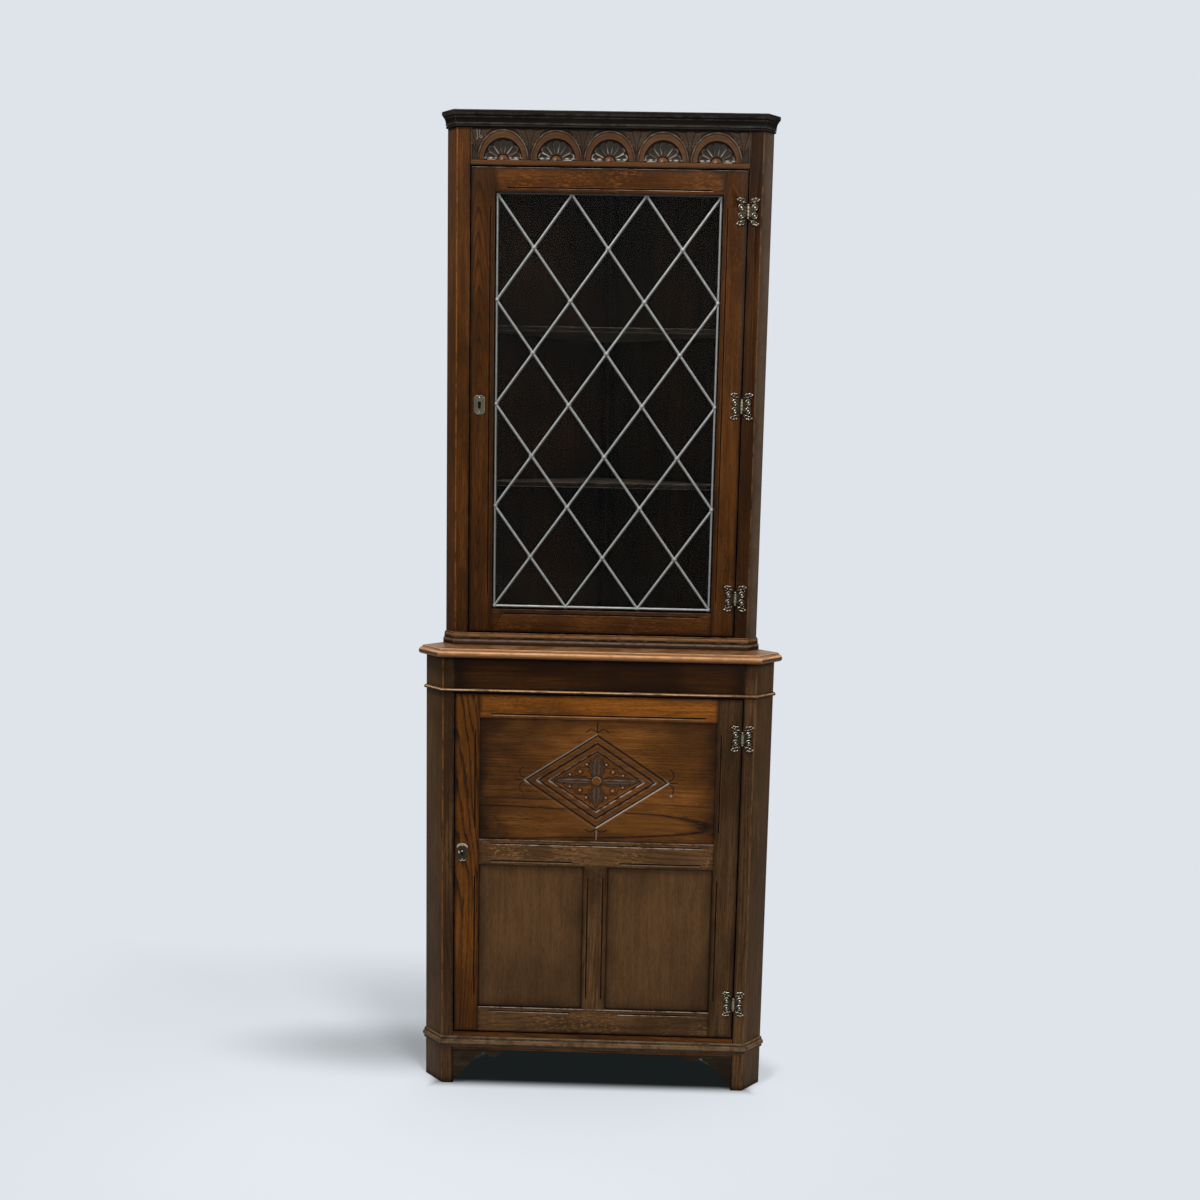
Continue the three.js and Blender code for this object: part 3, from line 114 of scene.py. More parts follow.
class CupboardWood(bpy.types.PropertyGroup):
    """Colours and wear of the oak"""

    golden: colour_field("Golden oak", "Tone of the lightest boards", (0.112, 0.036, 0.0045))
    russet: colour_field("Russet oak", "Tone of the upper stage", (0.045, 0.0150, 0.0026))
    brown: colour_field("Brown oak", "Tone of the lower door", (0.047, 0.0225, 0.0082))
    umber: colour_field("Umber oak", "Stain in the pores and the dark figure", (0.0075, 0.0042, 0.0030))
    ebonised: colour_field(
        "Ebonised oak", "Ground tone of the cornice and the brackets", (0.0062, 0.0046, 0.0036))
    arris: colour_field("Worn arris", "Tone where the edges are rubbed", (0.17, 0.062, 0.014))
    # painted highlight: the light grey laid on the upward faces of eased edges
    edge_highlight: colour_field("Painted edge highlight", "Tone of the edges that catch the light", (0.30, 0.25, 0.20))
    wear: bpy.props.FloatProperty(
        name="Wear", description="How far the edges are rubbed",
        subtype="FACTOR", min=0.0, max=1.0, default=0.5)
    post_ease: length_field("Post arris", "Rounding of the posts' edges", 0.0002, 0.003, 0.0016)
    board_ease: length_field("Board arris", "Rounding of the boards' edges", 0.0002, 0.002, 0.0010)


class CupboardCarving(bpy.types.PropertyGroup):
    """Sizes of the frieze and the lozenge panel"""

    frieze_step: length_field("Frieze mesh", "Spacing of the frieze's mesh", 0.0005, 0.004, 0.00078)
    panel_step: length_field("Panel mesh", "Spacing of the carved panel's mesh", 0.0008, 0.004, 0.00112)
    shell_depth: length_field("Shell depth", "Depth of the lunettes' petals", 0.001, 0.006, 0.0042)
    line_depth: length_field("Line depth", "Depth of the lozenge's cut lines", 0.0005, 0.004, 0.0032)


class CupboardLight(bpy.types.PropertyGroup):
    """Sizes of the leaded light"""

    came_width: length_field("Came width", "Width of a lead came", 0.002, 0.01, 0.0050)
    came_rise: length_field(
        "Came rise", "Height of a came's round back over the glass", 0.0005, 0.003, 0.0022)
    solder_width: length_field("Solder width", "Width of the solder at a crossing", 0.004, 0.015, 0.0100)


class CupboardStage(bpy.types.PropertyGroup):
    """Light and background"""

    ground: colour_field("Background", "Colour behind and under the cupboard", (0.737, 0.776, 0.831))
    sky: bpy.props.FloatProperty(
        name="Sky", description="Strength of the light from all round",
        min=0.0, max=2.0, default=0.42)
    key: power_field("Front", "Power of the lamp at the front", 80.0)
    top: power_field("Top", "Power of the lamp overhead", 70.0)


def wood_settings():
    return bpy.context.scene.cupboard_wood


def carving_settings():
    return bpy.context.scene.cupboard_carving


def light_settings():
    return bpy.context.scene.cupboard_light


def stage_settings():
    return bpy.context.scene.cupboard_stage


# ---------------------------------------------------------------- bench


def clear_selection():
    bpy.ops.object.select_all(action="DESELECT")


def take_up(piece):
    clear_selection()
    piece.select_set(True)
    bpy.context.view_layer.objects.active = piece


@contextmanager
def shaping(piece):
    """Edit mode on one piece, with nothing selected at the start"""
    take_up(piece)
    bpy.ops.object.mode_set(mode="EDIT")
    bpy.ops.mesh.select_all(action="DESELECT")
    yield
    bpy.ops.object.mode_set(mode="OBJECT")


def pick(piece, kind, test):
    """Selects the edges or the faces that pass a test, in edit mode, and counts them"""
    bpy.ops.mesh.select_mode(type=kind)
    bpy.ops.mesh.select_all(action="DESELECT")
    net = bmesh.from_edit_mesh(piece.data)
    net.normal_update()
    found = [item for item in (net.edges if kind == "EDGE" else net.faces) if test(item)]
    for item in found:
        item.select_set(True)
    bmesh.update_edit_mesh(piece.data)
    return len(found)


def settle(piece):
    """Puts the place, the turn and the scale of a piece into its mesh"""
    take_up(piece)
    bpy.ops.object.transform_apply(location=True, rotation=True, scale=True)


def box_start(low, high):
    """A block at its size and place, in mm"""
    clear_selection()
    middle = [(a + b) / 2 * MM for a, b in zip(low, high)]
    size = [(b - a) * MM for a, b in zip(low, high)]
    bpy.ops.mesh.primitive_cube_add(size=1, location=middle, scale=size)
    piece = bpy.context.object
    settle(piece)
    return piece


def rod_start(radius, start, end, sides):
    """A rod between two places, in mm"""
    clear_selection()
    start, end = Vector(start) * MM, Vector(end) * MM
    run = end - start
    bpy.ops.mesh.primitive_cylinder_add(
        vertices=sides, radius=radius * MM, depth=run.length, location=(start + end) / 2,
        rotation=run.to_track_quat("Z", "Y").to_euler())
    piece = bpy.context.object
    settle(piece)
    return piece


def ball_start(radii, middle, segments, rings):
    """A ball or flattened ball, in mm"""
    clear_selection()
    bpy.ops.mesh.primitive_uv_sphere_add(
        segments=segments, ring_count=rings, radius=1, location=Vector(middle) * MM,
        rotation=(HALF_TURN / 2, 0, 0))
    piece = bpy.context.object
    piece.scale = (radii[0] * MM, radii[2] * MM, radii[1] * MM)
    settle(piece)
    return piece


def ring_start(major, minor, middle, sides):
    """A flattened ring that faces the front, in mm"""
    clear_selection()
    bpy.ops.mesh.primitive_torus_add(
        major_segments=sides, minor_segments=8, major_radius=major * MM,
        minor_radius=minor * MM, location=Vector(middle) * MM, rotation=(HALF_TURN / 2, 0, 0))
    piece = bpy.context.object
    piece.scale = (1, 1, 0.8)
    settle(piece)
    return piece


def join_up(parts):
    """Joins separate pieces of one fitting into one object"""
    clear_selection()
    for part in parts:
        part.select_set(True)
    bpy.context.view_layer.objects.active = parts[0]
    if len(parts) > 1:
        bpy.ops.object.join()
    return parts[0]


def swept(rings):
    """A ring of points shaped into a section, then extruded from ring to ring, in mm"""
    clear_selection()
    bpy.ops.mesh.primitive_circle_add(vertices=len(rings[0]), radius=0.05, fill_type="NGON")
    piece = bpy.context.object
    with shaping(piece):
        bpy.ops.mesh.select_mode(type="FACE")
        net = bmesh.from_edit_mesh(piece.data)
        net.verts.ensure_lookup_table()
        for corner, spot in zip(net.verts, rings[0]):
            corner.co = Vector(spot) * MM
        places = {tuple(corner.co): index for index, corner in enumerate(net.verts)}
        bmesh.update_edit_mesh(piece.data)
        bpy.ops.mesh.select_all(action="SELECT")
        for ring in rings[1:]:
            bpy.ops.mesh.extrude_region()
            net = bmesh.from_edit_mesh(piece.data)
            fresh = {}
            for corner in [corner for corner in net.verts if corner.select]:
                index = places[tuple(corner.co)]
                corner.co = Vector(ring[index]) * MM
                fresh[tuple(corner.co)] = index
            places = fresh
            bmesh.update_edit_mesh(piece.data)
        bpy.ops.mesh.select_all(action="SELECT")
        bpy.ops.mesh.normals_make_consistent(inside=False)
    return piece


def arc(centre, radii, start, end, steps):
    """Points of an arc; angles in degrees"""
    points = []
    for index in range(steps + 1):
        angle = math.radians(start + (end - start) * index / steps)
        points.append((centre[0] + radii[0] * math.cos(angle), centre[1] + radii[1] * math.sin(angle)))
    return points


def flowing(points, corners, steps):
    """A smooth line through the points, with a break at each index in corners"""
    line = []
    breaks = [0, *corners, len(points) - 1]
    for first, last in zip(breaks, breaks[1:]):
        run = [Vector(point) for point in points[first:last + 1]]
        for index in range(len(run) - 1):
            before = run[max(index - 1, 0)]
            start, end = run[index], run[index + 1]
            after = run[min(index + 2, len(run) - 1)]
            for step in range(steps):
                t = step / steps
                spot = 0.5 * (
                    2 * start + (end - before) * t
                    + (2 * before - 5 * start + 4 * end - after) * t * t
                    + (3 * start - before - 3 * end + after) * t ** 3)
                line.append(tuple(spot))
    line.append(tuple(points[-1]))
    return line


def finish_piece(piece, name, body, nodes, finish, angle=35):
    """Names a piece, gives it its finish, and hangs it on its body in place of its nodes"""
    piece.name = name
    piece.data.name = name
    take_up(piece)
    bpy.ops.object.shade_smooth_by_angle(angle=math.radians(angle))
    piece.data.materials.clear()
    piece.data.materials.append(finish)
    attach(piece, body)
    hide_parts(*nodes)


def refinish(node, finish):
    """A new finish on a node whose shape stays"""
    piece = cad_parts[node]
    if not piece.material_slots:
        piece.data.materials.append(finish)
    for slot in piece.material_slots:
        slot.material = finish


def eased_copy(node, ease, segments=2, crown=False):
    """A board's own shape with the edges that are seen from the front eased, and its edges and grooves
    marked for the finish, its upward eased faces marked lit for a painted highlight; crown says that the
    board's own top edge gets that painted highlight too"""
    piece = bpy.data.objects.new(node + "_eased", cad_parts[node].data.copy())
    bpy.context.scene.collection.objects.link(piece)
    low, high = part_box(node)
    shortest, long_edge, top_reach = 12 * MM, 38 * MM, 3 * MM
    sharp, frontward = math.radians(20), -0.65
    groove_near, groove_far = 0.25 * MM, 1.7 * MM

    def seen(edge):
        if len(edge.link_faces) != 2 or edge.calc_length() < shortest:
            return False
        if edge.calc_face_angle_signed(0) < sharp:
            return False
        return any(face.normal.y < frontward for face in edge.link_faces)

    with shaping(piece):
        bpy.ops.mesh.select_all(action="SELECT")
        bpy.ops.mesh.remove_doubles(threshold=0.000002)
        bpy.ops.mesh.dissolve_limited(angle_limit=math.radians(0.4))
        if pick(piece, "EDGE", seen):
            bpy.ops.mesh.bevel(
                offset=ease, segments=segments, affect="EDGES", clamp_overlap=False, loop_slide=False)
        net = bmesh.from_edit_mesh(piece.data)
        net.normal_update()
        arris = net.faces.layers.float.new("arris")
        lit = net.faces.layers.float.new("lit")
        groove = net.faces.layers.float.new("groove")
        for face in net.faces:
            longest = max(edge.calc_length() for edge in face.edges)
            place = face.calc_center_median()
            if face.select and face.calc_area() < ease * longest:
                face[arris] = 1.0
                top = place.z > high.z - top_reach
                # painted highlight: upward eased faces are marked lit, more strongly under a groove than on
                # the board's top
                if face.normal.z > 0.25 and longest > long_edge and (crown or not top):
                    face[lit] = 1.0 if top else 2.2
            elif groove_near < place.y - low.y < groove_far and longest > long_edge:
                face[groove] = 1.0
        bmesh.update_edit_mesh(piece.data)
    return piece


# ---------------------------------------------------------------- finishes


class NodeBench:
    """Places nodes in one tree and joins them"""

    def __init__(self, tree):
        self.tree = tree

    def node(self, kind, **settings):
        made = self.tree.nodes.new(kind)
        for key, value in settings.items():
            setattr(made, key, value)
        return made

    def feed(self, socket, value):
        if isinstance(value, bpy.types.NodeSocket):
            self.tree.links.new(value, socket)
        elif value is not None:
            socket.default_value = value

    def fed(self, kind, *values, **settings):
        """A node with its first inputs fed in turn"""
        made = self.node(kind, **settings)
        for socket, value in zip(made.inputs, values):
            self.feed(socket, value)
        return made

    def sum(self, operation, *values, clamp=False):
        return self.fed("ShaderNodeMath", *values, operation=operation, use_clamp=clamp).outputs[0]

    def plus(self, first, second, clamp=False):
        return self.sum("ADD", first, second, clamp=clamp)

    def minus(self, first, second, clamp=False):
        return self.sum("SUBTRACT", first, second, clamp=clamp)

    def times(self, first, *others):
        for other in others:
            first = self.sum("MULTIPLY", first, other)
        return first

    def most(self, first, second):
        return self.sum("MAXIMUM", first, second)

    def least(self, first, second):
        return self.sum("MINIMUM", first, second)

    def vector(self, operation, *values):
        """One step of vector arithmetic; a length or a dot product comes out as a number"""
        made = self.fed("ShaderNodeVectorMath", *values, operation=operation)
        return made.outputs["Value" if operation in ("LENGTH", "DOT_PRODUCT") else "Vector"]

    def axes(self, vector):
        return self.fed("ShaderNodeSeparateXYZ", vector).outputs

    def spots(self, kind):
        return self.node("ShaderNode" + kind).outputs

    def mark(self, name):
        """A value that is stored on the mesh"""
        return self.node("ShaderNodeAttribute", attribute_name=name).outputs["Fac"]

    def spread(self, value, low, high, out_low=0.0, out_high=1.0):
        return self.fed("ShaderNodeMapRange", value, low, high, out_low, out_high,
                        interpolation_type="SMOOTHSTEP").outputs[0]

    def blend(self, share, first, second, way="MIX"):
        made = self.node("ShaderNodeMix", data_type="RGBA", blend_type=way)
        for index, value in ((0, share), (6, first), (7, second)):
            self.feed(made.inputs[index], value)
        return made.outputs[2]

    def lay(self, base, mask, share, colour):
        """A colour laid over the base as far as its mask and its share go"""
        return self.blend(self.times(mask, share), base, colour)

    def noise(self, vector, scale, detail=2.0, roughness=0.5, distortion=0.0):
        made = self.node("ShaderNodeTexNoise")
        for name, value in (("Vector", vector), ("Scale", scale), ("Detail", detail),
                            ("Roughness", roughness), ("Distortion", distortion)):
            self.feed(made.inputs[name], value)
        return made.outputs[0]

    def bump(self, shader, height, strength, distance):
        """Shows a height as relief on the shader"""
        made = self.node("ShaderNodeBump")
        for name, value in (("Strength", strength), ("Distance", distance), ("Height", height)):
            self.feed(made.inputs[name], value)
        self.feed(shader.inputs["Normal"], made.outputs[0])

    def looked_at(self):
        """One for what is seen directly or through the glass"""
        path = self.spots("LightPath")
        return self.most(path["Is Camera Ray"], path["Is Transmission Ray"])


def new_group(name, inputs, outputs):
    """A node group with named inputs (name, kind, default) and named outputs, all numbers"""
    tree = bpy.data.node_groups.new(name, "ShaderNodeTree")
    for label, kind, default in inputs:
        socket = tree.interface.new_socket(label, in_out="INPUT", socket_type="NodeSocket" + kind)
        if default is not None:
            socket.default_value = default
    for label in outputs:
        tree.interface.new_socket(label, in_out="OUTPUT", socket_type="NodeSocketFloat")
    bench = NodeBench(tree)
    return bench, bench.node("NodeGroupInput").outputs, bench.node("NodeGroupOutput").inputs


def oak_group():
    """Figure, pores, flecks and tone of oak; the grain runs along X, Z is across and Y is depth"""
    bench, given, made = new_group("Oak figure", [
        ("Vector", "Vector", None),
        ("Ring Spacing", "Float", 0.005),
        ("Heart Across", "Float", 0.0),
        ("Heart Depth", "Float", 0.05),
        ("Slope", "Float", 0.04),
        ("Waviness", "Float", 1.0),
        ("Tighten", "Float", 1.0),
        ("Line Width", "Float", 0.4),
        ("Uneven", "Float", 1.6),
        ("Seed", "Float", 0.0),
    ], ["Figure", "Streak", "Pores", "Fleck", "Tone", "Patina"])
    shifts = [bench.times(given["Seed"], share) for share in (0.731, 0.277, 0.413)]
    moved = bench.vector("ADD", given["Vector"], bench.fed("ShaderNodeCombineXYZ", *shifts).outputs[0])

    def grain(stretch, scale, detail, roughness=0.5, distortion=0.0):
        """Noise drawn out along the board"""
        return bench.noise(
            bench.vector("MULTIPLY", moved, (stretch, 1, 1)), scale, detail, roughness, distortion)

    axes = bench.axes(given["Vector"])
    sway = bench.times(bench.minus(grain(0.10, 14.0, 2.0), 0.5), given["Waviness"], 0.05)
    quiver = bench.times(bench.minus(grain(0.10, 90.0, 3.0, 0.6), 0.5), given["Waviness"], 0.006)
    across = bench.plus(bench.minus(axes[2], given["Heart Across"]), bench.plus(sway, quiver))
    depth = bench.plus(bench.plus(axes[1], given["Heart Depth"]), bench.times(axes[0], given["Slope"]))
    reach = bench.sum("SQRT", bench.plus(bench.times(across, across), bench.times(depth, depth)))
    uneven = bench.times(bench.minus(grain(0.10, 30.0, 1.0), 0.5), given["Uneven"])
    count = bench.sum("POWER", bench.sum("DIVIDE", reach, given["Ring Spacing"]), given["Tighten"])
    rings = bench.sum("FRACT", bench.plus(count, uneven))
    rise = bench.spread(rings, bench.minus(0.9, given["Line Width"]), 0.88)
    fall = bench.spread(rings, 0.90, 0.99, 1.0, 0.0)
    strength = bench.spread(grain(0.3, 11.0, 2.0), 0.34, 0.60, 0.35, 1.0)
    broken = bench.spread(grain(0.10, 620.0, 2.0, 0.6), 0.30, 0.62, 0.55, 1.0)
    fine = bench.times(grain(0.05, 400.0, 4.0, 0.7), 0.4)
    broad = bench.times(grain(0.05, 130.0, 3.0, 0.65), 0.6)
    pores = bench.spread(grain(0.07, 1100.0, 1.0), 0.54, 0.64)
    fleck = bench.spread(grain(0.34, 300.0, 2.0, 0.55, 0.8), 0.50, 0.62)
    results = {
        "Figure": bench.times(rise, fall, strength, broken),
        "Streak": bench.spread(bench.plus(fine, broad), 0.40, 0.60),
        "Pores": bench.times(pores, bench.spread(rings, 0.0, 0.5, 1.0, 0.35)),
        "Fleck": bench.times(fleck, bench.spread(bench.noise(moved, 16.0, 1.0), 0.38, 0.6)),
        "Tone": bench.spread(grain(0.30, 14.0, 4.0, 0.65), 0.38, 0.62),
        "Patina": bench.spread(grain(0.45, 6.0, 3.0, 0.65), 0.44, 0.64),
    }
    for name, result in results.items():
        bench.feed(made[name], result)


def wear_and_shade_group():
    """Where the edges are rubbed, and how shut in each place is: dirt and painted shade gather in shut-in
    places
    """
    bench, given, made = new_group("Wear and hollow shade", [
        ("Edge Width", "Float", 0.0016),
        ("Hollow Reach", "Float", 0.016),
    ], ["Edges", "Hollow dirt and shade", "Open"])
    soft = bench.node("ShaderNodeBevel", samples=6)
    bench.feed(soft.inputs["Radius"], given["Edge Width"])
    turned = bench.vector("DOT_PRODUCT", soft.outputs[0], bench.spots("NewGeometry")["Normal"])
    cloud = bench.noise(bench.spots("TexCoord")["Object"], 55.0, 4.0, 0.6)
    broken = bench.spread(cloud, 0.34, 0.6, 0.12, 1.0)
    hollow = bench.node("ShaderNodeAmbientOcclusion", samples=8)
    bench.feed(hollow.inputs["Distance"], given["Hollow Reach"])
    clear = hollow.outputs["AO"]
    edge = bench.spread(turned, 0.999, 0.90)
    bench.feed(made["Edges"], bench.times(edge, broken, bench.spread(clear, 0.45, 0.75)))
    # darkening where occlusion is high: dirt and painted shade
    bench.feed(made["Hollow dirt and shade"], bench.spread(clear, 0.35, 0.95, 1.0, 0.0))
    bench.feed(made["Open"], bench.spread(clear, 0.40, 0.80, 0.15, 1.0))


def border_group():
    """Rises towards the border of an upright rectangle"""
    bench, given, made = new_group("Panel border", [
        ("Vector", "Vector", None),
        ("Middle", "Vector", (0.0, 0.0, 0.0)),
        ("Half Size", "Vector", (1.0, 1.0, 1.0)),
        ("Reach", "Float", 0.05),
    ], ["Border"])
    apart = bench.vector("ABSOLUTE", bench.vector("SUBTRACT", given["Vector"], given["Middle"]))
    left = bench.axes(bench.vector("SUBTRACT", given["Half Size"], apart))
    cloud = bench.minus(1.25, bench.times(bench.noise(given["Vector"], 22.0, 3.0, 0.6), 0.7))
    near = bench.sum("DIVIDE", bench.least(left[0], left[2]), given["Reach"])
    bench.feed(made["Border"], bench.sum("POWER", bench.minus(cloud, near, clamp=True), 1.5))


def strip_group():
    """A level band of painted light or of painted shade: a painted highlight along an edge or under a
    groove, and a painted dark line in a fillet, in a corner or along a gap
    """
    bench, given, made = new_group("Painted light and shade strip", [
        ("Vector", "Vector", None),
        ("Middle", "Vector", (0.0, 0.0, 0.0)),
        ("Half Length", "Float", 1.0),
        ("Half Width", "Float", 0.001),
    ], ["Strip"])
    apart = bench.axes(bench.vector("ABSOLUTE", bench.vector("SUBTRACT", given["Vector"], given["Middle"])))
    along = bench.spread(bench.minus(given["Half Length"], apart[0]), 0.0, 0.004)
    aside = bench.spread(bench.minus(given["Half Width"], apart[2]), -0.0004, 0.0004)
    patches = bench.spread(bench.noise(given["Vector"], 60.0, 4.0, 0.65), 0.34, 0.56, 0.45, 1.0)
    bench.feed(made["Strip"], bench.times(along, aside, patches))


def shared_groups():
    """The node groups, made once"""
    if "Oak figure" not in bpy.data.node_groups:
        for make in (oak_group, wear_and_shade_group, border_group, strip_group):
            make()
    return bpy.data.node_groups


def new_finish(name):
    finish = bpy.data.materials.new(name)
    finish.use_nodes = True
    finish.node_tree.nodes.clear()
    bench = NodeBench(finish.node_tree)
    shader = bench.node("ShaderNodeBsdfPrincipled")
    out = bench.node("ShaderNodeOutputMaterial")
    bench.feed(out.inputs[0], shader.outputs[0])
    return finish, bench, shader


def group_node(bench, name, **values):
    """A shared group with its inputs fed by name; gives its outputs"""
    made = bench.node("ShaderNodeGroup", node_tree=shared_groups()[name])
    for key, value in values.items():
        bench.feed(made.inputs[key.replace("_", " ")], value)
    return made.outputs


def rgba(colour, share=1.0):
    return (colour[0] * share, colour[1] * share, colour[2] * share, 1.0)


def border(left, foot, right, top, reach, depth=0.97):
    """A dark band inside an upright rectangle, in mm: a darker tone towards an edge, and painted shade along
    a door gap
    """
    middle = Vector((left + right, 0, foot + top)) / 2 * MM
    half = Vector((right - left, 0, top - foot)) / 2 * MM
    return (middle, half, reach * MM, depth)


def strip(level, half_width, colour, share, middle=0.0, half_length=ROUND_THE_FRONT):
    """A level band of painted light or of painted shade, in mm"""
    return ((middle, 0.0, level), half_length, half_width, colour, share)


def oak_finish(name, upright, ground, seed=0.0, spacing=5.0, heart=(0.0, 50.0), slope=0.04, waviness=1.0,
               tighten=1.0, line=0.4, uneven=1.6, figure=0.75, streak=0.6, pores=0.6, fleck=0.0, tone=0.5,
               patina=0.6, wear=None, hollow_dirt_and_shade=0.9, sheen=0.32, gloss=0.045, borders=(), painted_strips=(),
               arris=None, lit=(), calm=0.25, catch=1.0, carved=False, dark_and_shade_colour=(0.010, 0.008, 0.007),
               relief=0.15):
    """Stained oak with a wax finish, of one ground tone, with painted light and shade laid on: colours by
    facing, painted highlights on upward edges and carved ridges, and painted shade in shut-in places, along
    gaps and in painted bands; upright says that the grain runs up the board
    """
    wood = wood_settings()
    finish, bench, shader = new_finish(name)
    place = bench.spots("TexCoord")
    turn = bench.node("ShaderNodeMapping")
    bench.feed(turn.inputs["Vector"], place["Object"])
    if upright:
        turn.inputs["Rotation"].default_value = (0.0, HALF_TURN / 2, 0.0)
    oak = group_node(
        bench, "Oak figure", Vector=turn.outputs[0], Ring_Spacing=spacing * MM, Heart_Across=heart[0] * MM,
        Heart_Depth=heart[1] * MM, Slope=slope, Waviness=waviness, Tighten=tighten,
        Line_Width=line, Uneven=uneven, Seed=seed)
    wear_and_shade = group_node(bench, "Wear and hollow shade")
    base = bench.lay(rgba(ground, PALE), oak["Tone"], tone, rgba(ground, 0.7))
    for mask, share, colour in (
        ("Patina", patina, rgba(ground, 0.28)), ("Streak", streak, rgba(ground, 0.45)),
        ("Figure", figure, rgba(wood.umber)), ("Fleck", fleck, rgba(ground, PALE * 1.15)),
        ("Pores", pores, rgba(wood.umber, 0.7)),
    ):
        if share:
            base = bench.lay(base, oak[mask], share, colour)
    # painted light and shade: each lit entry lays a colour on the faces turned along one axis, as light
    # falls on them
    if lit:
        broken = bench.spread(bench.noise(place["Object"], 30.0, 4.0, 0.65), 0.36, 0.60, calm, 1.0)
        facing = bench.axes(place["Normal"])
        for axis, start, end, colour, share in lit:
            base = bench.lay(base, bench.spread(facing[axis], start, end, 0.0, share), broken, rgba(colour))
    spots = bench.spread(bench.noise(place["Object"], 42.0, 4.0, 0.7), 0.34, 0.58, 0.1, 1.0)
    rubbed = bench.most(wear_and_shade["Edges"], bench.times(bench.mark("arris"), spots))
    base = bench.lay(base, rubbed, wood.wear if wear is None else wear, rgba(arris or wood.arris))
    # carved marks: darker colour with painted shade sunk into the carving, warmth, and rubbed ridges
    if carved:
        for mark, share, colour in (
            ("dark_and_shade", 0.92, rgba(dark_and_shade_colour)), ("warm", 0.52, rgba(wood.golden, 0.85)),
            ("ridge", relief, rgba(ground, 2.2)),
        ):
            base = bench.lay(base, bench.mark(mark), share, colour)
    # darker bands towards the given edges; along door gaps they are painted shade
    for middle, half_size, reach, depth in borders:
        edge = group_node(
            bench, "Panel border", Vector=place["Object"], Middle=middle, Half_Size=half_size, Reach=reach)
        base = bench.lay(base, edge["Border"], depth, rgba(wood.umber, 0.55))
    # darker where the surface is shut in: dirt and painted shade
    base = bench.lay(base, wear_and_shade["Hollow dirt and shade"], hollow_dirt_and_shade, rgba(wood.umber, 0.3))
    # darker on the faces sunk into grooves: dirt and painted shade
    base = bench.lay(base, bench.mark("groove"), 0.9, rgba(wood.umber, 0.3))
    # painted highlight on the eased edges marked lit, kept out of shut-in places
    caught = bench.times(bench.mark("lit"), spots, wear_and_shade["Open"])
    base = bench.lay(base, caught, catch, rgba(wood.edge_highlight))
    # painted highlight: the carved glint marks are laid over in a light grey
    if carved:
        base = bench.lay(base, bench.mark("glint"), 0.95, rgba(GLINT_HIGHLIGHT))
    # painted bands of light and shade
    for middle, half_length, half_width, colour, share in painted_strips:
        level = group_node(
            bench, "Painted light and shade strip", Vector=place["Object"], Middle=[at * MM for at in middle],
            Half_Length=half_length * MM, Half_Width=half_width * MM)
        base = bench.lay(base, level["Strip"], share, rgba(colour))
    bench.feed(shader.inputs["Base Color"], base)
    rough = bench.spread(oak["Streak"], 0.0, 1.0, sheen, sheen + 0.1)
    rough = bench.plus(rough, bench.times(oak["Pores"], 0.2))
    rough = bench.plus(rough, bench.times(wear_and_shade["Hollow dirt and shade"], 0.25), clamp=True)
    bench.feed(shader.inputs["Roughness"], rough)
    height = bench.plus(bench.times(oak["Pores"], -1.0), bench.times(oak["Figure"], -0.45))
    height = bench.plus(height, bench.times(oak["Streak"], -0.35))
    bench.bump(shader, height, 0.35, 0.00025)
    shader.inputs["Specular IOR Level"].default_value = gloss
    return finish


def metal_finish(name, bright, dark, rough, metallic=0.9, mottle=0.5, face=None, rise=None,
                 upper=(0.45, 0.85), cap=None):
    """Old cast metal, rubbed bright on its edges and where it stands out from its face (in mm), with painted
    light on the faces turned up and to the left, a painted highlight on an arched cap, and painted shade
    where it lies within half a mm of its face
    """
    finish, bench, shader = new_finish(name)
    place = bench.spots("TexCoord")
    wear_and_shade = group_node(bench, "Wear and hollow shade", Edge_Width=0.0006, Hollow_Reach=0.004)
    patina = bench.spread(bench.noise(place["Object"], 260.0, 4.0, 0.6), 0.35, 0.68)
    # painted light: brighter on faces turned up and to the left
    facing = bench.vector("DOT_PRODUCT", place["Normal"], (-0.42, -0.30, 0.86))
    upward = bench.spread(facing, *upper)
    if face is None:
        shown = bench.times(upward, bench.minus(1.0, bench.times(patina, mottle)))
        base = bench.blend(shown, rgba(dark), rgba(bright))
    else:
        axes = bench.axes(place["Object"])

        def proud(start, end):
            return bench.spread(axes[1], (face - start) * MM, (face - end) * MM)

        shown = bench.times(proud(*rise), bench.spread(patina, 0.0, 1.0, 1.0, 1.0 - mottle))
        shown = bench.most(shown, bench.times(wear_and_shade["Edges"], 0.25))
        shown = bench.most(shown, bench.times(upward, 0.75))
        # painted highlight over an arched cap
        if cap:
            middle, start, end = cap
            aside = bench.minus(axes[0], middle * MM)
            arch = bench.plus(axes[2], bench.times(aside, aside, 55.0))
            shown = bench.most(shown, bench.spread(arch, start * MM, end * MM, 0.0, 0.8))
        base = bench.blend(shown, rgba(dark), rgba(bright))
        base = bench.blend(proud(3.9, 4.4), base, (0.19, 0.165, 0.105, 1.0))
        # painted shade: near-black where the metal lies within half a mm of its face
        base = bench.blend(proud(0.5, 0.4), base, (0.002, 0.002, 0.002, 1.0))
    # dark in shut-in places: patina and painted shade
    base = bench.lay(base, wear_and_shade["Hollow dirt and shade"], 0.85, rgba(dark, 0.35))
    bench.feed(shader.inputs["Base Color"], base)
    bench.feed(shader.inputs["Roughness"], bench.spread(patina, 0.0, 1.0, rough, rough + 0.2))
    shader.inputs["Metallic"].default_value = metallic
    bench.bump(shader, patina, 0.25, 0.0002)
    return finish


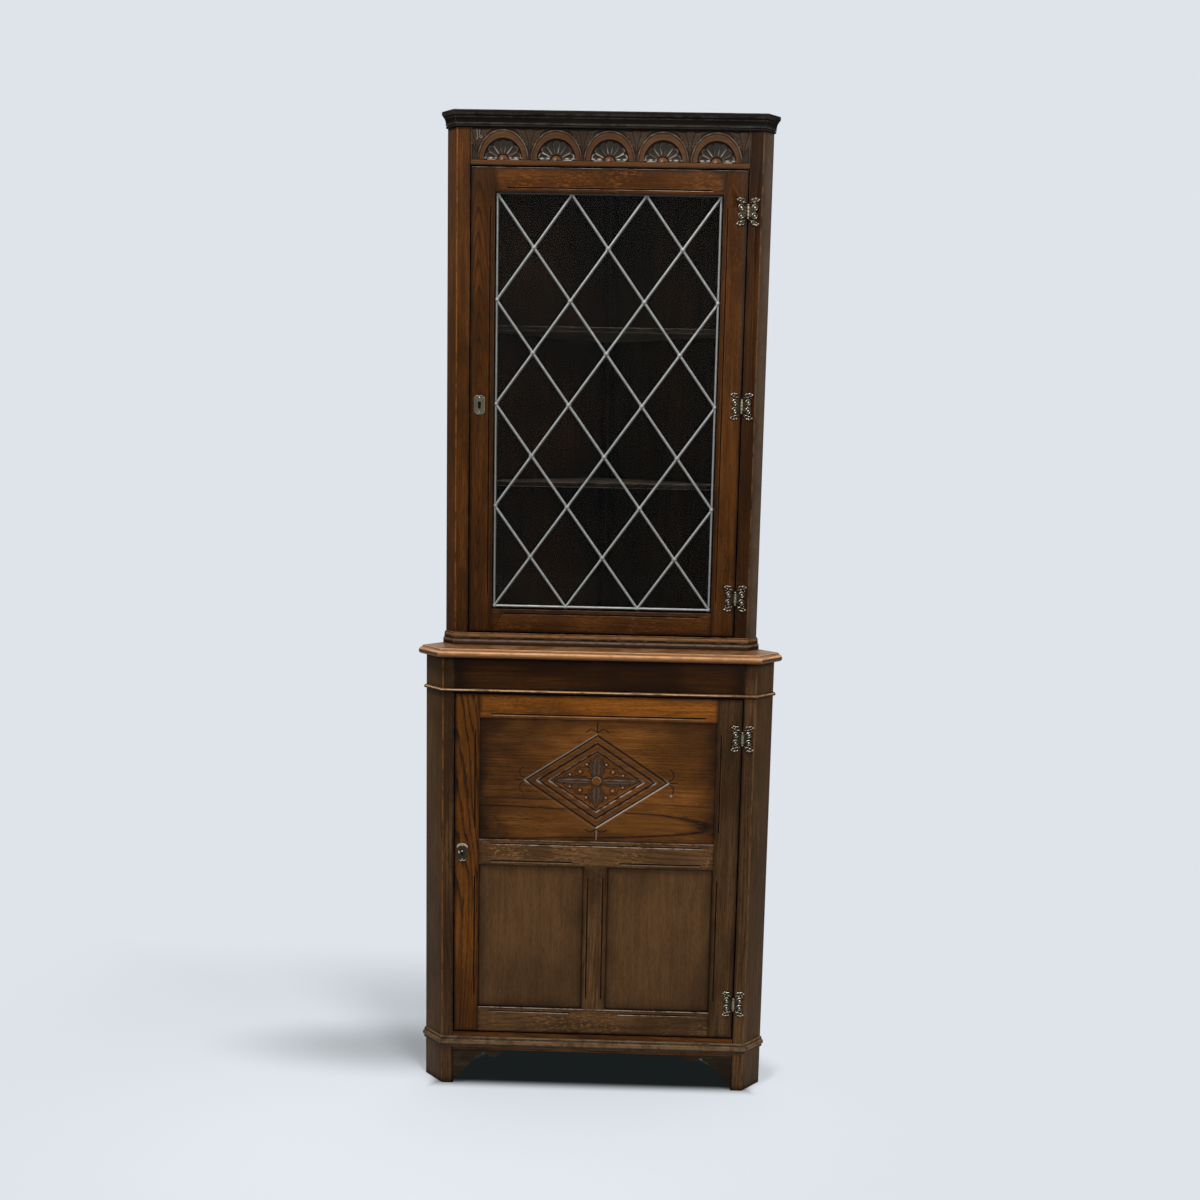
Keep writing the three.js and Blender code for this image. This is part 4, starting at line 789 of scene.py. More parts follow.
def glass_finish():
    """Old window glass, a little uneven"""
    finish, bench, shader = new_finish("quarry glass")
    seeds = bench.spread(bench.noise(bench.spots("TexCoord")["Object"], 9.0, 2.0), 0.35, 0.65)
    tint = bench.blend(seeds, (0.80, 0.86, 0.84, 1.0), (0.72, 0.82, 0.83, 1.0))
    for name, value in (
        ("Base Color", tint), ("Roughness", 0.02), ("Transmission Weight", 1.0), ("IOR", 1.15),
    ):
        bench.feed(shader.inputs[name], value)
    return finish


# ---------------------------------------------------------------- boards


class CUPBOARD_OT_posts(bpy.types.Operator):
    """Eases the posts of both stages and gives them their oak"""

    bl_idname = "cupboard.posts"
    bl_label = "Posts"

    def execute(self, context):
        wood = wood_settings()
        # each: node, side, opening, ground tone, seed, heart, the colour of painted light on its canted
        # return, and its share
        for node, side, opening, ground, seed, heart, tone, share in (
            ("base_post_left", -1, 271.0, (0.048, 0.0225, 0.0085), 1.3, (40.0, 62.0),
             (0.075, 0.041, 0.017), 0.5),
            ("base_post_right", 1, 271.0, rgba(wood.brown, 1.22), 4.1, (-30.0, 66.0),
             (0.044, 0.0245, 0.0105), 0.55),
            ("upper_post_left", -1, 252.5, rgba(wood.russet, 1.25), 7.7, (35.0, 70.0),
             (0.056, 0.022, 0.0075), 0.3),
            ("upper_post_right", 1, 252.5, rgba(wood.russet, 0.62), 9.2, (-36.0, 58.0),
             (0.090, 0.062, 0.042), 0.7),
        ):
            left, right = sorted((side * opening, side * (opening + FAR)))
            finish = oak_finish(
                node + " oak", True, ground, seed=seed, heart=heart,
                # painted shade: a dark band along the door's gap beside the post
                borders=[border(left, -FAR, right, 4 * FAR, 5.0)], wear=0.7,
                arris=wood.arris if side < 0 else (0.10, 0.052, 0.024),
                spacing=4.2, slope=0.03, figure=0.75, streak=0.7, fleck=0.15, tone=0.65, patina=0.7,
                lit=[(0, side * 0.55, side * 0.75, tone, share)], calm=0.7, catch=0.0)
            piece = eased_copy(node, wood.post_ease, 3)
            finish_piece(piece, node + "_eased", "carcass", [node], finish)
        return {"FINISHED"}


class CUPBOARD_OT_rails(bpy.types.Operator):
    """Eases the rails and shelves of the carcass"""

    bl_idname = "cupboard.rails"
    bl_label = "Rails and shelves"

    def execute(self, context):
        wood = wood_settings()
        common = dict(spacing=4.0, slope=0.03, figure=0.6, tone=0.7, catch=0.0)
        dark = oak_finish(
            "apron oak", False, rgba(wood.russet, 0.50), seed=2.4, heart=(700.0, 60.0), patina=0.8,
            borders=[border(-255.3, 700.0, 255.3, COUNTER_FOOT, 30.0, 0.6)], **common)
        # bottom rail: painted shade, a dark band along its top edge under the door gap
        low = oak_finish(
            "bottom rail oak", False, rgba(wood.golden, 0.55), seed=5.4, heart=(140.0, 60.0),
            borders=[border(-FAR, -FAR, FAR, RAIL_TOP, 3.0)], **common)
        # the upper shelves' eased front edges are coloured very light, so they read as thin light lines
        shelf = oak_finish(
            "shelf oak", False, (0.105, 0.052, 0.028), seed=8.4, heart=(1300.0, 60.0),
            arris=(0.7, 0.45, 0.36), wear=1.0, **common)
        low_shelf = oak_finish(
            "lower shelf oak", False, rgba(wood.russet, 0.8), seed=9.4, heart=(440.0, 60.0), sheen=0.45,
            arris=(0.12, 0.055, 0.024), wear=0.5, **{**common, "spacing": 5.0})
        for node, finish, slot in (
            ("base_apron", dark, "dark_oak"), ("base_bottom_rail", low, "frame_oak"),
            ("upper_shelf_low", shelf, "inside_oak"), ("upper_shelf_high", shelf, "inside_oak"),
            ("base_shelf", low_shelf, "inside_oak"),
        ):
            piece = eased_copy(node, wood.board_ease)
            finish_piece(piece, node + "_eased", "carcass", [node], finish)
        return {"FINISHED"}


class CUPBOARD_OT_inside(bpy.types.Operator):
    """Finishes the backs, floors, rear posts and top board"""

    bl_idname = "cupboard.inside"
    bl_label = "Backs and floors"

    def execute(self, context):
        wood = wood_settings()
        common = dict(spacing=6.0, figure=0.6, streak=0.6, tone=0.7, sheen=0.5, wear=0.2)
        upright = oak_finish(
            "back oak", True, rgba(wood.russet, 0.36), seed=3.3, heart=(60.0, 90.0), **common)
        level = oak_finish(
            "floor oak", False, rgba(wood.russet, 0.4), seed=6.3, heart=(0.0, 90.0), **common)
        for node in ("base_back_left", "base_back_right", "upper_back_left", "upper_back_right",
                     "base_rear_post", "upper_rear_post"):
            refinish(node, upright)
        for node in ("base_floor", "upper_floor", "upper_top_board"):
            refinish(node, level)
        return {"FINISHED"}


def door_boards():
    """Each board of the doors: body, name, upright, ground tone, seed, heart, slope, figure, fleck, catch
    (the share of painted highlight on its upward eased edges)
    """
    wood = wood_settings()
    golden, russet, brown = wood.golden, wood.russet, wood.brown
    return (
        ("base_door", "stile_left", True, rgba(golden, 0.76), 11.0, (285.0, 171.0), 0.06, 1.0, 0.0, 0.0),
        ("base_door", "stile_right", True, rgba(brown, 1.0), 12.6, (-150.0, 60.0), 0.03, 0.6, 0.1, 0.0),
        ("base_door", "rail_top", False, rgba(golden, 1.1), 13.1, (690.0, 55.0), 0.03, 0.45, 0.3, 0.8),
        ("base_door", "rail_middle", False, rgba(brown, 1.7), 14.9, (520.0, 55.0), 0.03, 0.5, 0.9, 0.45),
        ("base_door", "rail_bottom", False, rgba(brown, 1.45), 15.2, (100.0, 55.0), 0.03, 0.5, 0.8, 0.75),
        ("base_door", "muntin", True, rgba(brown, 1.32), 16.3, (60.0, 60.0), 0.03, 0.5, 0.2, 0.0),
        ("upper_door", "stile_left", True, rgba(russet, 0.8), 17.9, (240.0, 28.0), 0.08, 0.85, 0.1, 0.4),
        ("upper_door", "stile_right", True, rgba(russet, 1.1), 18.4, (-150.0, 60.0), 0.03, 0.6, 0.3, 0.4),
        ("upper_door", "rail_top", False, rgba(russet, 1.15), 19.7, (1650.0, 60.0), 0.03, 0.5, 0.8, 0.4),
        ("upper_door", "rail_bottom", False, rgba(russet, 1.0), 20.5, (980.0, 60.0), 0.03, 0.5, 0.6, 0.1),
    )


def edge_places(node):
    """Left, foot, right and top of a node, in mm"""
    low, high = [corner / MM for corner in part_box(node)]
    return [low.x, low.z, high.x, high.z]


class CUPBOARD_OT_door_frames(bpy.types.Operator):
    """Eases the stiles, rails and muntin of the doors, each with its own run of grain"""

    bl_idname = "cupboard.door_frames"
    bl_label = "Door frames"

    def execute(self, context):
        wood = wood_settings()
        # painted highlights along the lower lips of the scratch grooves
        under_grooves = {
            "base_door_rail_top": [strip(733.5, 0.4, GROOVE_LIGHT, 0.85, 0.0, 200.0)],
            "base_door_rail_middle": [
                strip(448.6, 0.4, GROOVE_LIGHT, 0.45, side * 122.55, 78.0) for side in (-1, 1)],
        }
        for body, name, upright, ground, seed, heart, slope, figure, fleck, catch in door_boards():
            node = f"{body}_{name}"
            left_stile, right_stile = edge_places(body + "_stile_left"), edge_places(body + "_stile_right")
            board = edge_places(node)
            if not upright:
                board[0], board[2] = left_stile[2], right_stile[0]
            cathedral = node == "base_door_stile_left"
            finish = oak_finish(
                node + " oak", upright, ground, seed=seed, heart=heart, slope=slope,
                spacing=8.0 if cathedral else 3.6, catch=catch,
                waviness=2.0 if cathedral else 1.0, figure=figure, fleck=fleck, tone=0.55,
                # darker towards each board's edges, and painted shade along the door's outer gap
                borders=[border(*board, 10.0, 0.75), border(*left_stile[:2], *right_stile[2:], 5.5)],
                painted_strips=under_grooves.get(node, ()))
            piece = eased_copy(node, wood.board_ease, crown=node != "base_door_rail_top")
            finish_piece(piece, node + "_eased", body, [node], finish)
        return {"FINISHED"}


class CUPBOARD_OT_plain_panels(bpy.types.Operator):
    """Finishes the two plain panels, darker towards their borders"""

    bl_idname = "cupboard.plain_panels"
    bl_label = "Plain panels"

    def execute(self, context):
        wood = wood_settings()
        for node, seed in (("base_door_panel_left", 21.4), ("base_door_panel_right", 22.8)):
            finish = oak_finish(
                node + " oak", True, rgba(wood.brown, 1.1), seed=seed, heart=(400.0, 60.0), spacing=3.2,
                slope=0.01, figure=0.3, streak=0.3, pores=0.5, fleck=0.2, tone=0.35, patina=0.35,
                borders=[border(*edge_places(node), 38.0, 0.75)])
            refinish(node, finish)
        return {"FINISHED"}


# ---------------------------------------------------------------- mouldings


def moulding_ring(plan, station, profile):
    """A profile of (outwards, level) at a wall end (0, 3) or a corner (1, 2) of the front"""
    half, face, cant = plan
    side = -1 if station < 2 else 1
    if station in (1, 2):
        return [(side * (half + MITRE_SHARE * out), face - out, level) for out, level in profile]
    return [
        (side * (half + cant + SQUARE_SHARE * out), face + cant - SQUARE_SHARE * out, level)
        for out, level in profile
    ]


def run_moulding(plan, profile):
    """A moulding round the front and the two returns, mitred at the corners"""
    return swept([moulding_ring(plan, station, profile) for station in range(4)])


def stack_board(plan, steps):
    """A corner-shaped board built up from (outwards, level) steps of its edge"""
    rings = []
    for out, level in steps:
        ring = [moulding_ring(plan, station, [(out, level)])[0] for station in range(4)]
        rings.append([*ring, (0.0, CORNER_PLACE, level)])
    return swept(rings)


def over_foot(foot, *points):
    """Points of a profile given over its foot, as levels"""
    return [(out, foot + up) for out, up in points]


def cornice_profile():
    return [*over_foot(
        CORNICE_FOOT,
        (0.1, 0), *arc((1.6, 1.9), (2.2, 1.9), -90, 90, 8), (1.2, 4.2), (3.6, 4.3), (4.4, 4.8), (4.4, 6.2),
        (3.6, 7.0), *arc((11.4, 7.0), (7.2, 11.4), 176, 128, 5), (7.0, 16.6), (8.1, 16.8), (8.4, 17.4),
        (9.9, 19.2), (11.2, 20.0), (11.2, 20.9), (12.5, 21.1), (13.0, 21.7), (13.0, 27.0), (12.4, 27.2)),
        (12.4, CORNICE_TOP - 0.4), (12.0, CORNICE_TOP), (0.1, CORNICE_TOP),
    ]


def bead_profile():
    return over_foot(APRON_FOOT, (0.1, 0), *arc((0.6, 3.5), (4.8, 3.5), -90, 90, 12), (0.1, 7))


def plinth_profile():
    return over_foot(
        RAIL_TOP - 29, (0.1, 0), (3.2, 0), (3.7, 0.5), (3.7, 4.0), (3.1, 4.6),
        *arc((2.9, 10), (4.4, 5.0), -84, 84, 12), (2.2, 15.4), (3.4, 15.7),
        *arc((0.4, 15.9), (3.1, 3.9), 0, 84, 7), (0.1, 20))


def ovolo_profile():
    return [*over_foot(
        FOOT_BOARD_TOP, (0.1, 0.1), (3.1, 0.1), (3.6, 0.6), (3.6, 3.4), (2.9, 3.8),
        *arc((0.5, 4.2), (2.9, 7.3), 0, 88, 8)), (0.1, UPPER_FLOOR_TOP)]


class CUPBOARD_OT_mouldings(bpy.types.Operator):
    """Runs the cornice, the bead, the plinth moulding and the moulding under the upper stage"""

    bl_idname = "cupboard.mouldings"
    bl_label = "Mouldings"

    def execute(self, context):
        wood = wood_settings()
        common = dict(figure=0.6, streak=0.7, tone=0.6, wear=0.9, hollow_dirt_and_shade=1.0)
        # cornice: painted light, a lighter grey on its upward faces
        black = oak_finish(
            "cornice oak", False, rgba(wood.ebonised, 0.85), seed=23.0, heart=(1700.0, 60.0), figure=0.5,
            streak=0.6, tone=0.6, arris=(0.085, 0.075, 0.062), wear=1.0,
            lit=[(2, 0.35, 0.80, (0.070, 0.064, 0.055), 0.9)], calm=0.5)
        # plinth moulding: painted light on its upward faces, a painted light band on the torus, painted
        # shade in a band under it, and a thin painted highlight on the step between
        lined = oak_finish(
            "moulding oak", False, rgba(wood.brown, 0.62), seed=24.0, heart=(700.0, 60.0),
            arris=(0.36, 0.28, 0.20), lit=[(2, 0.15, 0.8, (0.155, 0.098, 0.056), 0.85)], painted_strips=[
                strip(RAIL_TOP - 19.5, 2.6, (0.165, 0.084, 0.036), 0.75),
                strip(RAIL_TOP - 26.6, 1.9, (0.030, 0.026, 0.020), 0.8),
                strip(RAIL_TOP - 24.3, 0.4, (0.20, 0.17, 0.13), 0.5)], **common)
        # bead: a painted highlight along its front, painted shade on its top under the apron
        bead = oak_finish(
            "bead oak", False, rgba(wood.russet, 0.6), seed=24.3, heart=(700.0, 60.0),
            arris=(0.34, 0.20, 0.11),
            lit=[(2, 0.0, 0.45, (0.48, 0.28, 0.145), 0.85), (2, 0.72, 0.95, (0.03, 0.022, 0.016), 1.0)],
            **common)
        # counter: painted light and shade by facing: a lit front, a painted highlight on the thumb's upward
        # rounding, a lit top and a darker underside
        brown = oak_finish(
            "counter oak", False, rgba(wood.golden, 0.72), seed=25.0, heart=(800.0, 45.0),
            figure=0.6, streak=0.6, tone=0.6, patina=0.7, wear=0.9, arris=(0.50, 0.29, 0.16), gloss=0.2,
            calm=0.6, lit=[
                (1, -0.70, -0.92, (0.27, 0.112, 0.032), 0.9), (2, 0.25, 0.60, (0.52, 0.28, 0.135), 0.85),
                (2, 0.80, 0.97, (0.108, 0.039, 0.01), 1.0), (2, 0.10, -0.45, (0.085, 0.034, 0.01), 0.95)])
        # ovolo: painted light on its upward and front faces, a painted light band on its round and painted
        # shade on its fillet
        tier = oak_finish(
            "tier oak", False, rgba(wood.russet, 0.75), seed=24.6, heart=(900.0, 60.0),
            arris=(0.30, 0.16, 0.07),
            lit=[(2, 0.3, 0.8, (0.060, 0.032, 0.015), 0.8), (1, -0.85, -0.98, (0.12, 0.062, 0.030), 0.65)],
            calm=0.65, painted_strips=[
                strip(FOOT_BOARD_TOP + 7.6, 2.0, (0.185, 0.080, 0.028), 0.85),
                strip(FOOT_BOARD_TOP + 1.9, 2.1, (0.008, 0.006, 0.005), 0.95)], **common)
        # foot board: a lit front, a painted highlight along its top and painted shade along its foot on the
        # counter
        board = oak_finish(
            "foot board oak", False, rgba(wood.russet, 0.66), seed=24.9, heart=(900.0, 60.0),
            arris=(0.26, 0.15, 0.08), lit=[(1, -0.85, -0.98, (0.075, 0.044, 0.026), 0.5)],
            calm=0.65, painted_strips=[
                strip(FOOT_BOARD_TOP - 2.4, 1.5, (0.150, 0.102, 0.070), 0.8),
                strip(COUNTER_TOP + 1.4, 1.3, (0.012, 0.009, 0.007), 0.9)], **common)
        foot_edge = [
            (5.6, COUNTER_TOP), (6.0, COUNTER_TOP + 0.4), (6.0, FOOT_BOARD_TOP - 1.6),
            (5.6, FOOT_BOARD_TOP - 0.6), (4.9, FOOT_BOARD_TOP)]
        counter_edge = [
            *arc((10.0, COUNTER_FOOT + 6.6), (7.5, 6.6), -86, 84, 14),
            (9.6, COUNTER_TOP - 2.6), (9.0, COUNTER_TOP - 2.2), (8.6, COUNTER_TOP - 0.8),
            (7.8, COUNTER_TOP)]
        tier_shape = ovolo_profile()
        for name, make, plan, shape, node, finish, slot in (
            ("cornice_run", run_moulding, UPPER_PLAN, cornice_profile(), "cornice", black, "dark_oak"),
            ("bead_run", run_moulding, BASE_PLAN, bead_profile(), "base_bead", bead, "frame_oak"),
            ("plinth_run", run_moulding, BASE_PLAN, plinth_profile(), "plinth_moulding", lined, "frame_oak"),
            ("ovolo_run", run_moulding, UPPER_PLAN, tier_shape, "upper_base_moulding", tier, "frame_oak"),
            ("foot_board_top", stack_board, UPPER_PLAN, foot_edge, "upper_foot_board", board, "frame_oak"),
            ("counter_top", stack_board, BASE_PLAN, counter_edge, "counter", brown, "frame_oak"),
        ):
            finish_piece(make(plan, shape), name, "carcass", [node], finish, 28)
        return {"FINISHED"}


class CUPBOARD_OT_brackets(bpy.types.Operator):
    """Saws and eases the scrolled brackets between the feet"""

    bl_idname = "cupboard.brackets"
    bl_label = "Brackets"

    def execute(self, context):
        finish = oak_finish(
            "bracket oak", False, (0.0190, 0.0125, 0.0070), seed=26.0,
            heart=(60.0, 60.0), figure=0.5, tone=0.6, arris=(0.030, 0.020, 0.012), wear=0.3)
        shares = [
            (0.0, 1.0), (0.07, 0.94), (0.16, 0.82), (0.27, 0.6), (0.37, 0.38), (0.47, 0.25), (0.56, 0.18),
            (0.59, 0.10), (0.63, 0.10), (0.67, 0.15), (0.73, 0.22), (0.80, 0.25), (0.88, 0.22), (0.95, 0.11),
            (1.0, 0.0),
        ]
        for node, side in (("base_bracket_left", -1), ("base_bracket_right", 1)):
            low, high = [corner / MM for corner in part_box(node)]
            post = low.x if side < 0 else high.x
            length, drop = high.x - low.x, high.z - low.z
            line = flowing(
                [(post - side * length * along, high.z - drop * down) for along, down in shares], [6, 8], 4)
            piece = plate([*line, (post, high.z)], low.y, high.y, 0.7)
            finish_piece(piece, node + "_scroll", "carcass", [node], finish)
        return {"FINISHED"}


# ---------------------------------------------------------------- carving


def ramp(value, start, end):
    share = np.clip((value - start) / (end - start), 0.0, 1.0)
    return share * share * (3 - 2 * share)


def stroke(x, z, points):
    """Distance in mm from each place to a line through the points"""
    nearest = np.full_like(x, 1e6)
    for (ax, az), (bx, bz) in zip(points, points[1:]):
        dx, dz = bx - ax, bz - az
        share = np.clip(((x - ax) * dx + (z - az) * dz) / (dx * dx + dz * dz), 0.0, 1.0)
        nearest = np.minimum(nearest, np.hypot(x - ax - share * dx, z - az - share * dz))
    return nearest


def peak(off, reach, height=1.0):
    """One on a line, falling to nothing at its reach; a height over one makes it flat on top"""
    return np.clip(height - np.abs(off) / reach, 0, 1)


def laid(under, share, top):
    """Values laid over others by their share"""
    return under * (1 - share) + top * share


def cut(depth, off, half_width, deep):
    """A gouge or V cut along a stroke"""
    return np.maximum(depth, deep * peak(off, half_width))


def relief_board(x_range, z_range, face, step, depth_at, backs):
    """A fine net on the front face, sunk by depth_at(x, z), closed by the steps in backs: (grow, place)"""
    width, height = x_range[1] - x_range[0], z_range[1] - z_range[0]
    middle = Vector((sum(x_range) / 2, face, sum(z_range) / 2)) * MM
    clear_selection()
    bpy.ops.mesh.primitive_grid_add(
        x_subdivisions=round(width / step), y_subdivisions=round(height / step), size=1,
        location=middle, rotation=(HALF_TURN / 2, 0, 0))
    piece = bpy.context.object
    piece.scale = (width * MM, height * MM, 1)
    settle(piece)
    places = np.empty(len(piece.data.vertices) * 3, np.float32)
    piece.data.vertices.foreach_get("co", places)
    places = places.reshape(-1, 3)
    x, z = places[:, 0].astype(float) / MM, places[:, 2].astype(float) / MM
    depth, dark_and_shade, glint, warm = depth_at(x, z)
    places[:, 1] = (face + depth) * MM
    piece.data.vertices.foreach_set("co", places.ravel())
    columns = round(width / step) + 1
    net = depth.reshape(-1, columns)
    around = net.copy()
    for reach in (1, 2, 3):
        edged = np.pad(around, reach, mode="edge")
        around = (
            edged[2 * reach:, reach:-reach] + edged[:-2 * reach, reach:-reach]
            + edged[reach:-reach, 2 * reach:] + edged[reach:-reach, :-2 * reach]) / 4
    # marks for the finish: darker colour with painted shade, painted highlights (glint), warmth, and ridges
    # rubbed lighter
    for name, values in (
        ("dark_and_shade", np.clip(dark_and_shade, 0, 1)), ("glint", np.clip(glint, 0, 1)), ("warm", np.clip(warm, 0, 1)),
        ("ridge", np.clip((around - net - 0.12) / 0.5, 0, 1)),
    ):
        mark = piece.data.attributes.new(name, "FLOAT", "POINT")
        mark.data.foreach_set("value", values.astype(np.float32).ravel())
    with shaping(piece):
        bpy.ops.mesh.select_mode(type="EDGE")
        bpy.ops.mesh.select_non_manifold()
        for grow, place in backs:
            bpy.ops.mesh.extrude_region()
            net = bmesh.from_edit_mesh(piece.data)
            for corner in [corner for corner in net.verts if corner.select]:
                out_x = math.copysign(grow, corner.co.x - middle.x)
                out_z = math.copysign(grow, corner.co.z - middle.z)
                if abs(abs(corner.co.x - middle.x) - width / 2 * MM) > 1e-5:
                    out_x = 0.0
                if abs(abs(corner.co.z - middle.z) - height / 2 * MM) > 1e-5:
                    out_z = 0.0
                corner.co += Vector((out_x * MM, 0, out_z * MM))
                corner.co.y = place * MM
            width, height = width + 2 * grow, height + 2 * grow
            bmesh.update_edit_mesh(piece.data)
        bpy.ops.mesh.edge_face_add()
        bpy.ops.mesh.select_all(action="SELECT")
        bpy.ops.mesh.normals_make_consistent(inside=False)
    return piece


def frieze_depth(x, z):
    """Depth in mm, darkening (darker colour and painted shade in the shells, grooves and ground), painted
    highlights (glint) and warmth of the lunette frieze at each place
    """
    foot, top, half = 1747.0, 1803.0, 250.0
    shell = carving_settings().shell_depth / MM
    inside = ramp(z, foot - 1.8, foot) * (1 - ramp(z, top - 0.8, top + 0.6))
    inside = inside * (1 - ramp(np.abs(x), half - 1.5, half))
    depth, dark_and_shade, glint = 2.2 * inside, 0.72 * inside, np.zeros_like(x)
    warm = 0.75 * (1 - ramp(z, foot - 1.5, foot))
    centres = [-193.5 + 96.3 * index for index in range(5)]
    for middle in [centres[0] - 48.1, *[centre + 48.15 for centre in centres]]:
        wide = 1.0 + 25.0 * np.clip((z - 1757.0) / 42.0, 0.0, 1.0) ** 1.5
        crown = 1799.0 + 1.6 * np.cos((x - middle) * 0.25)
        fan = (1 - ramp(np.abs(x - middle), wide - 0.8, wide)) * ramp(z, 1757, 1761) * inside
        fan = fan * (1 - ramp(z, crown, crown + 2.0))
        depth = laid(depth, fan, 0.5 + 0.4 * np.cos((x - middle) / wide * 2 * HALF_TURN))
        dark_and_shade = laid(dark_and_shade, fan, 0.42 + 0.12 * np.sin(x * 0.9 + z * 0.4))
        for lean in (-1, 1):
            flute = ((0.5, 1760), (3.0, 1779), (9.0, 1799))
            groove = stroke(x, z, [(middle + lean * out, level) for out, level in flute])
            depth = cut(depth, groove, 1.2, 1.8)
            dark_and_shade = np.maximum(dark_and_shade, peak(groove, 1.3, 1.15) * inside)
            side = stroke(x, z, [(middle + lean * 6.0, 1772), (middle + lean * 17, 1790)])
            glint = np.maximum(glint, 0.22 * peak(side, 0.8) * (0.5 + 0.5 * np.sin(z * 0.9)))
    for centre in centres:
        dx, dz = x - centre, z - foot
        outer, inner = np.hypot(dx / 46.8, dz / 53.6), np.hypot(dx / 34.8, dz / 37.6)
        above = ramp(dz, -1.0, 0.2)
        band = (1 - ramp(outer, 0.985, 1.005)) * above
        groove = peak((outer - 0.925) * 46, 1.3) * above
        depth = np.maximum(laid(depth, band, 0.15), 1.6 * groove)
        dark_and_shade = np.maximum(laid(dark_and_shade, band, 0.18), groove * 0.95)
        warm = np.maximum(warm, 0.5 * band * (1 - ramp(outer, 0.90, 0.93)))
        fillet = peak((outer - 0.962) * 46, 0.95) * above * ramp(dz, 3, 14)
        patch = 0.5 + 0.5 * np.sin(x * 0.31 + z * 0.17)
        glint = np.maximum(glint, fillet * (0.05 + 0.20 * patch ** 2))
        hollow = (1 - ramp(inner, 0.975, 1.02)) * above
        angle = np.arctan2(np.maximum(dz, 0.0) / 37.6, dx / 34.8) / HALF_TURN * 7
        local = np.abs(angle - np.floor(angle) - 0.5) * 2
        tip = 0.95 - 0.16 * local ** 2.2
        past = ramp(inner, tip - 0.03, tip + 0.03)
        scoop = shell * (0.35 + 0.45 * ramp(inner, 0.22, 0.80)) * (1 - 0.8 * local ** 4.0)
        depth = np.maximum(depth * (1 - hollow), laid(scoop, past, shell + 0.4) * hollow)
        # petals darker towards the top of each shell and in their hollow middles, darkest past their tips:
        # painted shade
        high = ramp(dz, 10.0, 27.0)
        petal = 0.52 + 0.42 * high + 0.3 * (1 - local ** 2) * (1 - past)
        dark_and_shade = laid(dark_and_shade, hollow, np.clip(petal + past, 0, 1))
        # painted highlights on the ridges, tips and foot of the lower petals
        spoke = ramp(local, 0.72, 0.97) * ramp(inner, 0.30, 0.42) * (1 - past)
        lip = peak((inner - tip + 0.02) * 36, 1.3) * ramp(local, 0.95, 0.2)
        foot_line = peak(dz - 3.4, 1.8) * ramp(np.abs(dx), 10, 13) * (0.5 + 0.5 * np.sin(dx * 0.55 + centre))
        uneven = np.clip(0.62 + 0.5 * np.sin(angle * 2.3 + centre * 0.7), 0.15, 1)
        bright = np.maximum(np.maximum(0.75 * spoke, 0.9 * lip) * uneven, 0.85 * foot_line)
        glint = np.maximum(glint * (1 - hollow), bright * (1 - 0.95 * high) * hollow)
        button = np.hypot(dx / 9.4, dz / 8.2)
        dome = np.sqrt(np.clip(1 - button ** 2, 0, 1))
        near = (1 - ramp(button, 0.97, 1.05)) * above
        moat = peak((button - 1.10) * 9, 1.3) * above
        depth = np.maximum(laid(depth, near, np.maximum(2.6 - 2.5 * dome, 0.1)), (shell - 0.4) * moat)
        dark_and_shade = np.maximum(dark_and_shade * (1 - near), moat)
        glint = laid(glint, near, 0.3 * ramp(dome, 0.75, 1.0) * (dx < 0))
        warm = np.maximum(warm * (1 - hollow), near)
    # painted shade: a dark line along the frieze's foot over the door gap
    dark_and_shade = np.maximum(dark_and_shade, 0.8 * peak(z - foot + 0.4, 1.4) * (np.abs(x) < half))
    for nick in ([(-242, 1797), (-241, 1784)], [(-237, 1796), (-238, 1789), (-233, 1786)]):
        off = stroke(x, z, nick)
        depth = cut(depth, off, 1.6, 2.4)
        glint = np.maximum(glint, 0.45 * peak(off - 1.2, 0.9) * (x > nick[0][0]))
    return np.clip(depth, 0.0, 5.4), dark_and_shade, glint, warm


def leaf_depth(along, aside, length, width, lobes):
    """Depth of one fluted acanthus leaf, where it lies, and its rim, from its foot to its tip"""
    share = np.clip(along / length, 0.0, 1.0)
    edge = width * (0.42 + 0.75 * np.sin(HALF_TURN * share ** 0.85) ** 0.8) * (1 - share ** 4)
    edge = np.maximum(edge * (1 + 0.16 * np.cos(lobes * 2 * HALF_TURN * share)), 0.4)
    within = (along > 0) * (along < length)
    inside = (1 - ramp(np.abs(aside), edge - 0.7, edge + 0.2)) * within
    flutes = np.abs(np.sin(HALF_TURN * aside / edge * 1.5))
    rim = np.clip(1 - np.abs(np.abs(aside) - edge) / 1.3, 0, 1) * within
    return inside * (0.5 + 1.9 * (1 - flutes) ** 0.8 * (1 - 0.3 * share)), inside, rim


